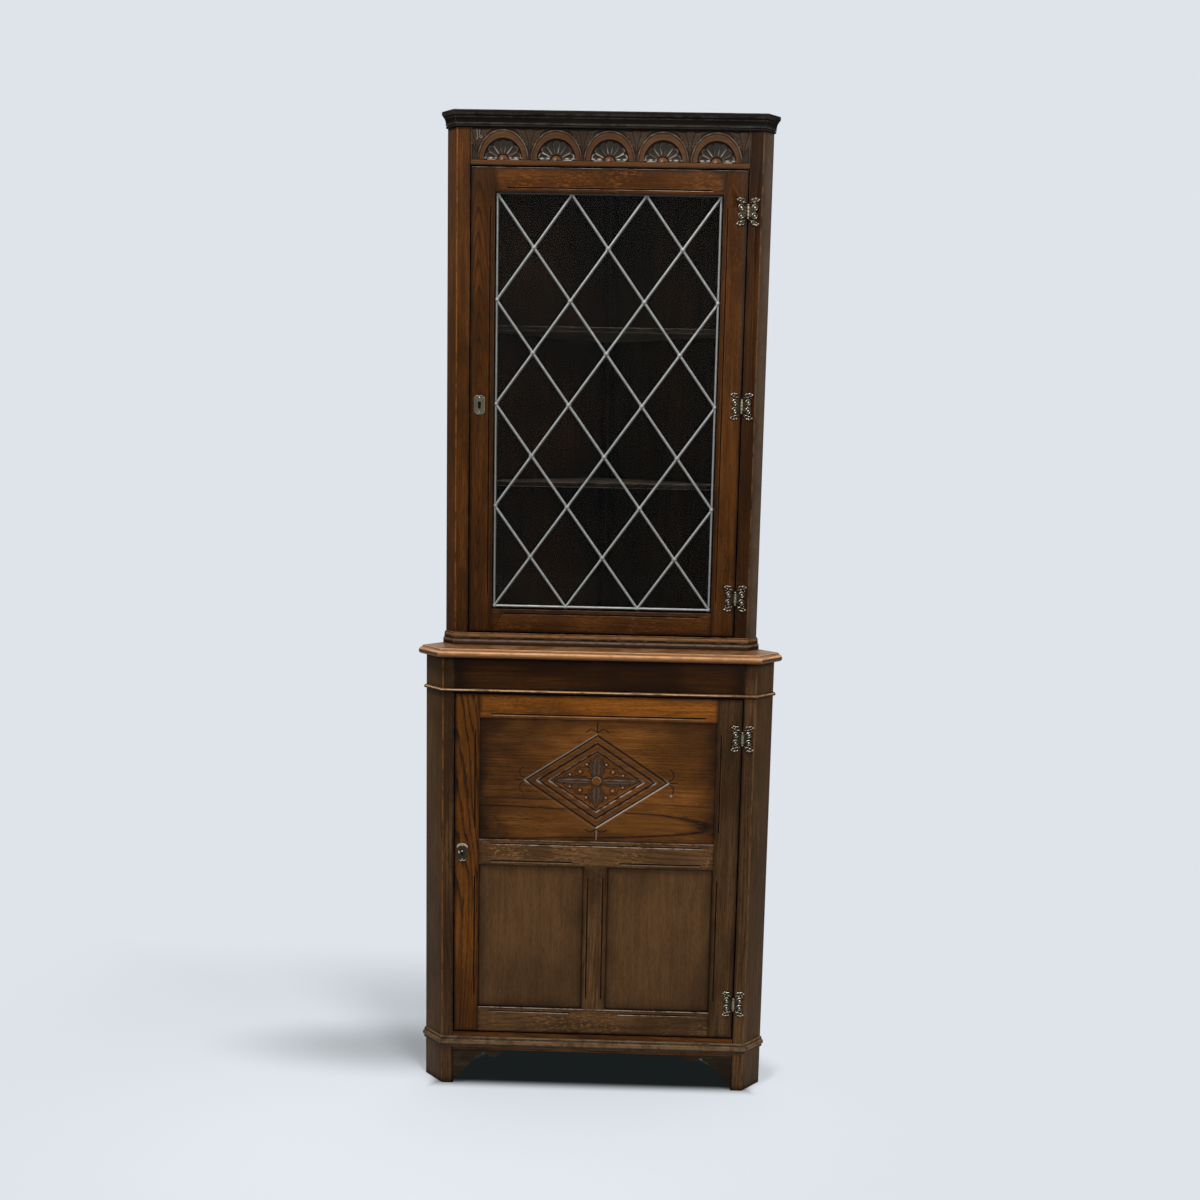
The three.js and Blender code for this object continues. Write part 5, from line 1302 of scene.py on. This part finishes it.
def lozenge_depth(x, z):
    """Depth in mm, darkening (darker colour and painted shade in the cut lines, the ground and on the
    leaves), painted highlights (glint) and warmth of the carved panel at each place
    """
    deep = carving_settings().line_depth / MM
    middle_x, middle_z, wide, tall = -1.5, 609.5, 134, 89
    dx, dz = x - middle_x, z - middle_z
    ring = np.abs(dx) / wide + np.abs(dz) / tall
    scale = wide * tall / math.hypot(wide, tall)
    depth, dark_and_shade, glint = np.zeros_like(x), np.zeros_like(x), np.zeros_like(x)
    rising = (dx * dz < 0).astype(float)
    broken = ramp(np.sin(dx * 0.23 + 1.0) + np.sin(dz * 0.61), -1.2, 0.6)
    # the cut lines, each: share of the ring, painted highlight on its outer wall along the rising sides, and
    # along the falling sides
    for share, along_rise, along_fall in ((1.0, 0.9, 0.04), (0.822, 0.16, 0.08), (0.65, 0.7, 0.2)):
        off = (ring - share) * scale
        depth = cut(depth, off, 2.4, deep)
        dark_and_shade = np.maximum(dark_and_shade, peak(off + 0.6, 2.0, 1.35))
        wall = peak(off - 1.5, 1.35)
        dimmed = 0.35 * (dx < 0) * rising * (share < 0.8)
        shine = along_rise * rising * (1 - dimmed) + along_fall * (1 - rising)
        glint = np.maximum(glint, wall * shine * (1.0 if share == 1.0 else broken))
        for side in (-1, 1):
            tip = np.hypot(dx - side * wide * share, dz)
            glint = np.maximum(glint, wall * 0.6 * peak(tip, 9, 1.4))
    between = ramp(ring, 0.65, 0.66) * (1 - ramp(ring, 0.99, 1.0))
    dark_and_shade = np.maximum(dark_and_shade, 0.30 * between)
    ground = 1 - ramp(ring, 0.600, 0.630)
    field = 1.7 + 0.3 * np.sin(dx * 0.9) * np.sin(dz * 1.1)
    mark, shine = np.full_like(x, 0.05), np.zeros_like(x)
    sweep = ((12, 44), (15, 26), (27, 26), (38, 25), (42, 14), (56, 14), (64, 5))
    # painted highlight along the rim of the sunk ground
    rim_light = peak((ring - 0.625) * scale, 1.2) * rising * (0.5 + 0.5 * np.sin(dx * 1.3))
    for sign in (-1, 1):
        for other in (-1, 1):
            for berry_x, berry_z, reach in ((31, 18, 6.6), (18.5, 32, 4.6), (50, 11.5, 4.2)):
                off = np.hypot(dx - sign * berry_x, dz - other * berry_z)
                moat, ball = peak(off - reach * 0.8, 1.5), peak(off, reach * 0.6)
                field = np.where(ball > 0, 1.6 - 1.3 * ball ** 0.5, np.maximum(field, 3.3 * moat))
                mark = np.where(ball > 0, 0.0, np.maximum(mark, moat))
                # painted highlight on each berry
                spot = np.hypot(dx - sign * berry_x + 0.8, dz - other * berry_z - 0.8)
                shine = np.maximum(shine, 0.55 * peak(spot, 1.3, 1.5))
            line = stroke(dx, dz, [(sign * a, other * b) for a, b in sweep])
            field = cut(field, line, 1.7, 3.0)
            mark = np.maximum(mark, 0.8 * peak(line, 1.6, 1.2))
            shine = np.maximum(shine, 0.45 * rim_light)
        for along, aside, length, width, lobes, crest_place, crest_light in (
            (sign * dz - 7, dx, 45, 12.0, 4, -2.2, 0.12), (sign * dx - 7, dz, 76, 7.6, 5, 2.6, 0.38),
        ):
            leaf, inside, rim = leaf_depth(along, aside, length, width, lobes)
            on_leaf = inside > 0.3
            field = np.where(on_leaf, leaf, laid(field, rim, 3.4))
            mark = np.where(on_leaf, 0.70 + 0.3 * np.clip(leaf - 0.8, 0, 1), np.maximum(mark, rim))
            # painted highlight along the crest of each leaf
            crest = peak(aside - crest_place, 1.1) * inside
            ripple = 0.6 + 0.4 * np.sin(along * 0.2 + sign)
            light = crest * crest_light * ripple * ramp(along, 2, 12)
            shine = np.maximum(np.where(on_leaf, 0.03, shine), light)
    depth, dark_and_shade, glint = laid(depth, ground, field), laid(dark_and_shade, ground, mark), laid(glint, ground, shine)
    warm = 0.45 * ground * (1 - ramp(mark, 0.2, 0.5))
    boss = np.hypot(dx, dz)
    depth = cut(depth * ramp(boss, 9.0, 11.0), boss - 10.2, 1.5, 3.0)
    dome = np.sqrt(np.clip(1 - (boss / 9.0) ** 2, 0, 1))
    depth = np.where(boss < 9.0, 1.5 - 1.4 * dome, depth)
    dark_and_shade = np.where(boss < 8.2, 0.0, np.where(boss < 11.6, 1.0, dark_and_shade))
    glint = np.where(boss < 8.2, 0.0, np.maximum(glint, 0.5 * peak(boss - 8.4, 0.9) * (dz > -2)))
    warm = np.where(boss < 8.2, 1.0, warm)
    curls = [((2, 704), (8, 709.5), (14, 709), (21, 703.5)), ((2, 515), (7, 511.5), (13, 511), (20, 514.5)),
             ((wide, middle_z), (152, middle_z))]
    for up in (-1, 1):
        curl = ((136, 3), (142, 6), (145.5, 12), (144.5, 20), (139, 24.5))
        curls.append([(out, middle_z + up * rise) for out, rise in curl])
    lines = [[(middle_x, 703), (middle_x, 723)], [(middle_x, 516), (middle_x, 496)]]
    lines += [[(middle_x + side * out, level) for out, level in curl] for side in (-1, 1) for curl in curls]
    for line in lines:
        off = stroke(x, z, line)
        weight = 1.0 if line[0][0] > -1.6 or line[0][1] < 520 else 0.6
        depth = cut(depth, off, 1.8, 1.6)
        dark_and_shade = np.maximum(dark_and_shade, weight * peak(off, 1.5, 1.3))
    glint = np.maximum(glint, 0.7 * peak(stroke(x, z, [(-0.2, 514), (-0.2, 496)]), 1.0))
    glint = np.maximum(glint, 0.6 * peak(np.hypot(x - 139.5, z - 585.5), 2.2, 1.4))
    return depth, dark_and_shade, glint, warm


class CUPBOARD_OT_frieze(bpy.types.Operator):
    """Carves the frieze: five lunettes with shells, and fluted fans between them"""

    bl_idname = "cupboard.frieze"
    bl_label = "Frieze"

    def execute(self, context):
        # painted shade: a dark band and a dark line along the frieze's foot, over the door's gap
        finish = oak_finish(
            "frieze oak", False, (0.045, 0.0240, 0.0122), seed=27.0, heart=(1700.0, 60.0), spacing=4.0,
            figure=0.5, tone=0.6, hollow_dirt_and_shade=0.9, wear=0.3, sheen=0.3, carved=True, relief=0.15,
            dark_and_shade_colour=(0.0125, 0.0118, 0.0105), borders=[border(-FAR, 1736.6, FAR, 3 * FAR, 5.0)],
            painted_strips=[strip(1737.3, 0.9, (0.006, 0.005, 0.004), 0.95)])
        low, high = [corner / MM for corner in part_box("upper_frieze")]
        step = carving_settings().frieze_step / MM
        half = 251.6
        piece = relief_board(
            (-half, half), (low.z, high.z), low.y, step, frieze_depth, [(0.0, high.y)])
        finish_piece(piece, "frieze_carved", "carcass", ["upper_frieze"], finish, 50)
        return {"FINISHED"}


class CUPBOARD_OT_carved_panel(bpy.types.Operator):
    """Carves the lozenge panel of the lower door"""

    bl_idname = "cupboard.carved_panel"
    bl_label = "Carved panel"

    def execute(self, context):
        low, high = [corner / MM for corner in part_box("base_door_panel_carved")]
        finish = oak_finish(
            "carved panel oak", False, (0.098, 0.0355, 0.0066), seed=28.0, heart=(526.0, 191.0),
            spacing=38.0, slope=0.075, waviness=0.6, tighten=2.0, line=0.16, uneven=0.5, figure=1.0,
            streak=0.55, tone=0.6, patina=0.65, hollow_dirt_and_shade=0.6, wear=0.3, carved=True, borders=[
                border(low.x, low.z, high.x, high.z, 45.0, 0.8),
                border(low.x, -FAR, 3 * FAR, 4 * FAR, 190.0, 0.95),
                border(-3 * FAR, -FAR, high.x, 4 * FAR, 70.0, 0.8)])
        step = carving_settings().panel_step / MM
        lap, slope_back = 8.0, low.y + 3.2
        piece = relief_board(
            (low.x + lap, high.x - lap), (low.z + lap, high.z - lap), low.y, step, lozenge_depth,
            [(0.0, slope_back), (7.5, slope_back), (0.0, high.y)])
        finish_piece(
            piece, "panel_carved", "base_door", ["base_door_panel_carved"], finish, 50)
        return {"FINISHED"}


# ---------------------------------------------------------------- leaded light


def lattice_places():
    """Crossings of the lattice and the runs of came between them, in mm"""
    low, high = (-203.5, 932.5), (203.5, 1688.5)
    half_width, half_height = (high[0] - low[0]) / 6, (high[1] - low[1]) / 8

    def at(column, row):
        return (low[0] + column * half_width, low[1] + row * half_height)

    crossings, runs = [], []
    for column in range(7):
        for row in range(9):
            if (column + row) % 2 == 0:
                crossings.append(at(column, row))
                if column < 6:
                    for step in (-1, 1):
                        if 0 <= row + step <= 8:
                            runs.append((at(column, row), at(column + 1, row + step)))
    border = [((low[0], low[1]), (high[0], low[1])), ((low[0], high[1] + 3), (high[0], high[1] + 3)),
              ((low[0], low[1]), (low[0], high[1])), ((high[0], low[1]), (high[0], high[1]))]
    return crossings, runs, border


def came(start, end, glass, side, width, rise):
    """A half-round came on one side of the glass"""
    piece = rod_start(width / 2, (0, 0, 0), (math.dist(start, end), 0, 0), 14)
    with shaping(piece):
        bpy.ops.mesh.select_all(action="SELECT")
        bpy.ops.mesh.bisect(plane_co=(0, 0, 0), plane_no=(0, 1, 0), clear_outer=True, use_fill=True)
    turn = math.atan2(end[1] - start[1], end[0] - start[0])
    piece.scale = (1, side * rise / (width / 2), 1)
    settle(piece)
    piece.rotation_euler = (0, -turn, 0)
    piece.location = (start[0] * MM, glass * MM, start[1] * MM)
    settle(piece)
    return piece


class CUPBOARD_OT_leaded_light(bpy.types.Operator):
    """Lays the lead cames on both faces of the glass, with solder at the crossings"""

    bl_idname = "cupboard.leaded_light"
    bl_label = "Leaded light"

    def execute(self, context):
        light = light_settings()
        width, rise = light.came_width / MM, light.came_rise / MM
        solder = light.solder_width / MM
        # the lead is painted light and shade: light on faces turned up and to the left, dark on the rest
        finish = metal_finish(
            "lead", (0.33, 0.33, 0.32), (0.062, 0.063, 0.060), rough=0.45, metallic=0.35, mottle=0.35,
            upper=(-0.25, 0.85))
        glass_low, glass_high = [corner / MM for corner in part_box("upper_door_glass")]
        crossings, runs, border = lattice_places()
        for node, place, side in (
            ("upper_door_leads_front", glass_low.y, 1), ("upper_door_leads_back", glass_high.y, -1),
        ):
            parts = [came(start, end, place, side, width, rise) for start, end in [*runs, *border]]
            for x, z in crossings:
                parts.append(ball_start((solder / 2, rise * 1.4, solder / 2.1), (x, place, z), 14, 8))
            piece = join_up(parts)
            with shaping(piece):
                bpy.ops.mesh.select_all(action="SELECT")
                bpy.ops.mesh.normals_make_consistent(inside=False)
            finish_piece(piece, node + "_cames", "upper_door", [node], finish, 40)
        refinish("upper_door_glass", glass_finish())
        ground = rgba(wood_settings().russet, 0.5)
        refinish("upper_door_glazing_beads", oak_finish("glazing bead oak", True, ground, seed=29.0))
        return {"FINISHED"}


# ---------------------------------------------------------------- fittings


def plate(outline, front, back, ease):
    """A sawn plate that faces the front, eased round its front edge, in mm"""
    piece = swept([[(x, y, z) for x, z in outline] for y in (front, back)])
    with shaping(piece):
        limit = front * MM + HAIR
        if pick(piece, "EDGE", lambda edge: all(corner.co.y < limit for corner in edge.verts)):
            bpy.ops.mesh.bevel(offset=ease * MM, segments=2, affect="EDGES", clamp_overlap=True)
    return piece


def hinge_leaf(pin_x, face, level, side):
    """One scrolled leaf with its screws, in mm; side is -1 on the door and 1 on the post"""

    def at(out, up, y=0.0):
        return (pin_x + side * out, face + y, level + up)

    parts = []
    for low, high in (((10.6, -22.0), (13.6, 22.0)), ((3.4, -8.4), (10.8, 8.4))):
        ends = sorted((pin_x + side * low[0], pin_x + side * high[0]))
        parts.append(box_start((ends[0], face - 0.9, level + low[1]), (ends[1], face, level + high[1])))
    for sign in (-1, 1):
        for out, up, radius in ((12.4, 7.4, 5.9), (10.2, 19.6, 4.4), (15.6, 21.2, 3.9)):
            parts.append(rod_start(radius, at(out, sign * up, -1.1), at(out, sign * up), 24))
        for out, up, major, minor, sides in (
            (12.4, 7.4, 4.9, 1.15, 24), (9.6, 19.6, 3.4, 1.05, 18), (15.8, 21.0, 2.9, 1.0, 16),
        ):
            parts.append(ring_start(major, minor, at(out, sign * up, -1.2), sides))
        for out, up, y, radii, segments, rings in (
            (12.4, 7.4, -1.0, (2.4, 2.3, 2.4), 14, 8), (13.4, 23.2, -0.9, (2.0, 2.1, 1.8), 12, 8),
            (19.4, 21.4, -0.8, (1.9, 2.2, 1.9), 12, 8), (5.6, 15.8, -0.6, (1.4, 1.6, 1.4), 10, 6),
            (17.2, 14.6, -0.6, (1.3, 1.6, 1.3), 10, 6),
        ):
            parts.append(ball_start(radii, at(out, sign * up, y), segments, rings))
    return parts


def knuckle(pin_x, pin_y, low, high):
    """One knuckle of a hinge with eased ends"""
    piece = rod_start(KNUCKLE_RADIUS, (pin_x, pin_y, low), (pin_x, pin_y, high), 20)
    with shaping(piece):
        ends = [low * MM, high * MM]
        if pick(piece, "EDGE", lambda edge: any(
                all(abs(corner.co.z - end) < 1e-6 for corner in edge.verts) for end in ends)):
            bpy.ops.mesh.bevel(offset=0.0004, segments=2, affect="EDGES")
    return piece


class CUPBOARD_OT_hinges(bpy.types.Operator):
    """Makes the scrolled hinges: leaves, screws, knuckles and ball-tipped pins"""

    bl_idname = "cupboard.hinges"
    bl_label = "Hinges"

    def execute(self, context):
        for stage, face, pin_x, levels in (
            ("base", BASE_PLAN[1], 269.4, (177.4, 699.4)),
            ("upper", UPPER_PLAN[1], 251.2, (957.2, 1314.2, 1662.2)),
        ):
            pin_y = face - PIN_OUT
            brass = metal_finish(
                stage + " hinge brass", (0.58, 0.52, 0.40), (0.026, 0.019, 0.012), rough=0.28, mottle=0.4,
                face=face, rise=(1.9, 3.5))
            for number, level in enumerate(levels, 1):
                thirds = [level - 9.0 + 6.0 * index for index in range(4)]
                for leaf, side, body, held in (
                    ("post", 1, "carcass", (0, 2)), ("door", -1, f"{stage}_door", (1,)),
                ):
                    parts = hinge_leaf(pin_x, face, level, side)
                    for index in held:
                        low, high = thirds[index], thirds[index + 1]
                        left, right = sorted((pin_x + side * 1.9, pin_x + side * 4.6))
                        parts.append(knuckle(pin_x, pin_y, low + 0.15, high - 0.15))
                        parts.append(
                            box_start((left, face - 1.4, low + 0.2), (right, face - 0.3, high - 0.2)))
                    for sign in (-1, 1) if leaf == "post" else ():
                        neck, tip = level + sign * 9.3, level + sign * 11.4
                        parts.append(ball_start((1.5, 1.5, 0.8), (pin_x, pin_y, neck), 12, 6))
                        parts.append(ball_start((2.2, 2.2, 2.2), (pin_x, pin_y, tip), 14, 10))
                    node = f"{stage}_hinge_{leaf}_leaf_{number}"
                    finish_piece(join_up(parts), node + "_cast", body, [node], brass, 45)
        return {"FINISHED"}


class CUPBOARD_OT_escutcheons(bpy.types.Operator):
    """Makes the escutcheons and their pins, and finishes the lock parts"""

    bl_idname = "cupboard.escutcheons"
    bl_label = "Escutcheons and locks"

    def execute(self, context):
        quarter = [
            (10.1, 0.0), (10.3, 6.0), (10.5, 10.6), (9.9, 13.6), (7.6, 16.2), (4.0, 17.7), (0.0, 18.0)]
        right = flowing(quarter, [], 3)
        outline = [*right, *[(-x, z) for x, z in reversed(right[:-1])]]
        outline += [(-x, -z) for x, z in right[1:]] + [(x, -z) for x, z in reversed(right[1:-1])]
        # columns: stage, key place across and up, face, the plate's plain colour, and the lock steel's lit
        # colour
        for stage, key_x, key_z, face, plain, inner in (
            ("base", -253.9, 468.9, BASE_PLAN[1], (0.030, 0.023, 0.013), (0.55, 0.55, 0.52)),
            ("upper", -233.0, 1311.2, UPPER_PLAN[1], (0.100, 0.090, 0.062), (0.012, 0.012, 0.012)),
        ):
            middle = key_z - 3.0
            brass = metal_finish(
                stage + " escutcheon brass", (0.52, 0.44, 0.33), plain, rough=0.32, mottle=0.6,
                metallic=0.85, face=face, rise=(1.25, 2.2),
                # painted highlight over the top of the lower plate
                cap=(key_x, middle + 12.5, middle + 16.5) if stage == "base" else None)
            steel = metal_finish(stage + " lock steel", inner, (0.01, 0.01, 0.01), rough=0.35)
            parts = [plate([(key_x + x, middle + z) for x, z in outline], face - 1.2, face, 0.7)]
            with shaping(parts[0]):
                if pick(parts[0], "FACE", lambda item: item.normal.y < -0.99 and len(item.verts) > 12):
                    bpy.ops.mesh.inset(thickness=0.0012, depth=0.0)
                    bpy.ops.mesh.inset(thickness=0.0005, depth=-0.0006)
            bow = rod_start(3.5, (key_x, face - 3, key_z), (key_x, face + 2, key_z), 24)
            slot = box_start((key_x - 2.5, face - 3, key_z - 9.6), (key_x + 2.5, face + 2, key_z))
            for tool in (bow, slot):
                take_up(parts[0])
                modifier = parts[0].modifiers.new("Keyhole", "BOOLEAN")
                modifier.operation = "DIFFERENCE"
                modifier.object = tool
                bpy.ops.object.modifier_apply(modifier=modifier.name)
                bpy.data.objects.remove(tool)
            # a thin disc inside the plate's back, near-black in its finish: painted shade at the bottom of
            # the keyhole
            parts.append(rod_start(8.2, (key_x, face - 0.35, key_z - 3.4), (key_x, face, key_z - 3.4), 24))
            if stage == "base":
                parts.append(rod_start(1.7, (key_x, face - 2.3, key_z), (key_x, face - 0.2, key_z), 16))
                parts.append(ball_start((1.9, 1.6, 2.6), (key_x - 6.2, face - 1.2, key_z - 2.5), 12, 8))
            for sign in (-1, 1):
                parts.append(ball_start((1.5, 1.7, 1.5), (key_x, face - 0.5, middle + sign * 13.6), 12, 8))
            node = f"{stage}_escutcheon"
            finish_piece(join_up(parts), node + "_cast", f"{stage}_door", [node], brass, 40)
            refinish(f"{stage}_lock_case", steel)
            refinish(f"{stage}_lock_bolt", steel)
        return {"FINISHED"}


# ---------------------------------------------------------------- stage


class CUPBOARD_OT_stage(bpy.types.Operator):
    """Sets the camera, the lamps, the floor and the background"""

    bl_idname = "cupboard.stage"
    bl_label = "Stage"

    def camera(self, context):
        yaw, pitch, roll = (math.radians(angle) for angle in (-1.09, 7.56, 1.13))
        ahead = Vector((math.sin(yaw) * math.cos(pitch), math.cos(yaw) * math.cos(pitch), -math.sin(pitch)))
        right = Vector((math.cos(yaw), -math.sin(yaw), 0))
        up = right.cross(ahead)
        across = math.cos(roll) * right + math.sin(roll) * up
        upward = math.cos(roll) * up - math.sin(roll) * right
        lens = bpy.data.cameras.new("camera")
        lens.sensor_width = 36
        lens.lens = 37.81
        lens.clip_start, lens.clip_end = 0.05, 60
        camera = bpy.data.objects.new("camera", lens)
        context.scene.collection.objects.link(camera)
        turn = Matrix((across, upward, -ahead)).transposed().to_4x4()
        camera.matrix_world = Matrix.Translation((0.04234, -2.48028, 1.26159)) @ turn
        context.scene.camera = camera

    def lamp(self, context, name, place, aim, size, power, colour):
        data = bpy.data.lights.new(name, "AREA")
        data.shape = "DISK"
        data.size = size
        data.energy = power
        data.color = colour
        lamp = bpy.data.objects.new(name, data)
        context.scene.collection.objects.link(lamp)
        lamp.location = place
        lamp.rotation_euler = (Vector(aim) - Vector(place)).to_track_quat("-Z", "Y").to_euler()

    def world(self, context, stage):
        world = bpy.data.worlds.new("studio")
        context.scene.world = world
        world.use_nodes = True
        world.node_tree.nodes.clear()
        bench = NodeBench(world.node_tree)
        shown = bench.fed("ShaderNodeBackground", rgba(stage.ground), 1.0)
        height = bench.axes(bench.spots("TexCoord")["Generated"])[2]
        lift = bench.spread(height, -0.04, 0.20, -0.3, 1.1)
        lift = bench.times(lift, bench.spots("LightPath")["Is Glossy Ray"])
        around = bench.fed(
            "ShaderNodeBackground", rgba((0.95, 0.98, 1.0)), bench.times(bench.plus(lift, 1.0), stage.sky))
        mix = bench.fed("ShaderNodeMixShader", bench.looked_at(), around.outputs[0], shown.outputs[0])
        bench.fed("ShaderNodeOutputWorld", mix.outputs[0])

    def floor(self, context, stage):
        clear_selection()
        bpy.ops.mesh.primitive_circle_add(vertices=96, radius=9, fill_type="NGON", location=(0, 0, 0))
        floor = context.object
        floor.name = "floor"
        finish, bench, shader = new_finish("floor")
        place = bench.spots("TexCoord")["Object"]
        axes = bench.axes(place)
        aside = bench.sum("ABSOLUTE", axes[0])
        # painted shadow: the floor under the cupboard's plan shows a dark emission
        within = bench.least(bench.minus(0.315, aside), bench.plus(axes[1], 0.187))
        to_wall = bench.minus(0.185, bench.plus(aside, axes[1]))
        close = bench.spread(bench.least(within, to_wall), -0.008, 0.03)
        # painted shadow: the floor's colour is darker in an ellipse left of the left foot
        apart = bench.vector("SUBTRACT", place, (-0.38, -0.035, 0.0))
        near = bench.vector("LENGTH", bench.vector("MULTIPLY", apart, (2.1, 6.8, 0.0)))
        shade = bench.spread(near, 0.1, 1.0, 0.60, 1.0)
        for name, value in (
            ("Base Color", bench.blend(1.0, rgba(stage.ground, 0.94), shade, "MULTIPLY")),
            ("Roughness", 0.9), ("Specular IOR Level", 0.0),
        ):
            bench.feed(shader.inputs[name], value)
        length = bench.vector("LENGTH", bench.vector("ADD", place, (0.34, -0.05, 0.0)))
        far = bench.most(bench.spread(length, 0.35, 1.05), bench.spread(axes[1], 0.14, 0.50))
        right = bench.minus(axes[0], bench.times(axes[1], -0.9))
        far = bench.most(far, bench.spread(right, 0.20, 0.34))
        painted_shadow = bench.fed("ShaderNodeEmission", (0.0098, 0.0125, 0.0132, 1.0))
        deep = bench.fed("ShaderNodeMixShader", close, shader.outputs[0], painted_shadow.outputs[0])
        plain = bench.fed("ShaderNodeEmission", rgba(stage.ground))
        open_floor = bench.times(far, bench.minus(1.0, close), bench.looked_at())
        mix = bench.fed("ShaderNodeMixShader", open_floor, deep.outputs[0], plain.outputs[0])
        out = next(node for node in bench.tree.nodes if node.type == "OUTPUT_MATERIAL")
        bench.feed(out.inputs[0], mix.outputs[0])
        floor.data.materials.append(finish)

    def execute(self, context):
        stage = stage_settings()
        self.camera(context)
        self.world(context, stage)
        self.floor(context, stage)
        for name, place, aim, size, power, colour in (
            ("front lamp", (1.6, -2.9, 2.5), (0, 0, 0.95), 1.7, stage.key, (1.0, 0.985, 0.96)),
            ("top lamp", (-0.75, -1.35, 3.5), (0, -0.1, 0.9), 0.6, stage.top, (1.0, 0.99, 0.97)),
        ):
            self.lamp(context, name, place, aim, size, power, colour)
        context.scene.view_settings.view_transform = "Standard"
        return {"FINISHED"}


# ---------------------------------------------------------------- panel and registration

WORK = (
    CUPBOARD_OT_posts,
    CUPBOARD_OT_rails,
    CUPBOARD_OT_inside,
    CUPBOARD_OT_door_frames,
    CUPBOARD_OT_plain_panels,
    CUPBOARD_OT_mouldings,
    CUPBOARD_OT_brackets,
    CUPBOARD_OT_frieze,
    CUPBOARD_OT_carved_panel,
    CUPBOARD_OT_leaded_light,
    CUPBOARD_OT_hinges,
    CUPBOARD_OT_escutcheons,
    CUPBOARD_OT_stage,
)
SETTINGS = {
    "cupboard_wood": CupboardWood,
    "cupboard_carving": CupboardCarving,
    "cupboard_light": CupboardLight,
    "cupboard_stage": CupboardStage,
}


class CUPBOARD_PT_sidebar(bpy.types.Panel):
    """Lists the cupboard's pieces and settings"""

    bl_idname = "CUPBOARD_PT_sidebar"
    bl_label = "Corner cupboard"
    bl_space_type = "VIEW_3D"
    bl_region_type = "UI"
    bl_category = "Cupboard"

    def draw(self, context):
        layout = self.layout
        for work in WORK:
            layout.operator(work.bl_idname)
        for label, group in SETTINGS.items():
            box = layout.box()
            for name in group.__annotations__:
                box.prop(getattr(context.scene, label), name)


def register():
    for group in SETTINGS.values():
        bpy.utils.register_class(group)
    for work in WORK:
        bpy.utils.register_class(work)
    bpy.utils.register_class(CUPBOARD_PT_sidebar)
    for label, group in SETTINGS.items():
        setattr(bpy.types.Scene, label, bpy.props.PointerProperty(type=group))


def unregister():
    for label in SETTINGS:
        delattr(bpy.types.Scene, label)
    bpy.utils.unregister_class(CUPBOARD_PT_sidebar)
    for work in reversed(WORK):
        bpy.utils.unregister_class(work)
    for group in reversed(list(SETTINGS.values())):
        bpy.utils.unregister_class(group)


def main():
    register()
    for work in WORK:
        module, name = work.bl_idname.split(".")
        getattr(getattr(bpy.ops, module), name)()


if __name__ == "__main__":
    main()
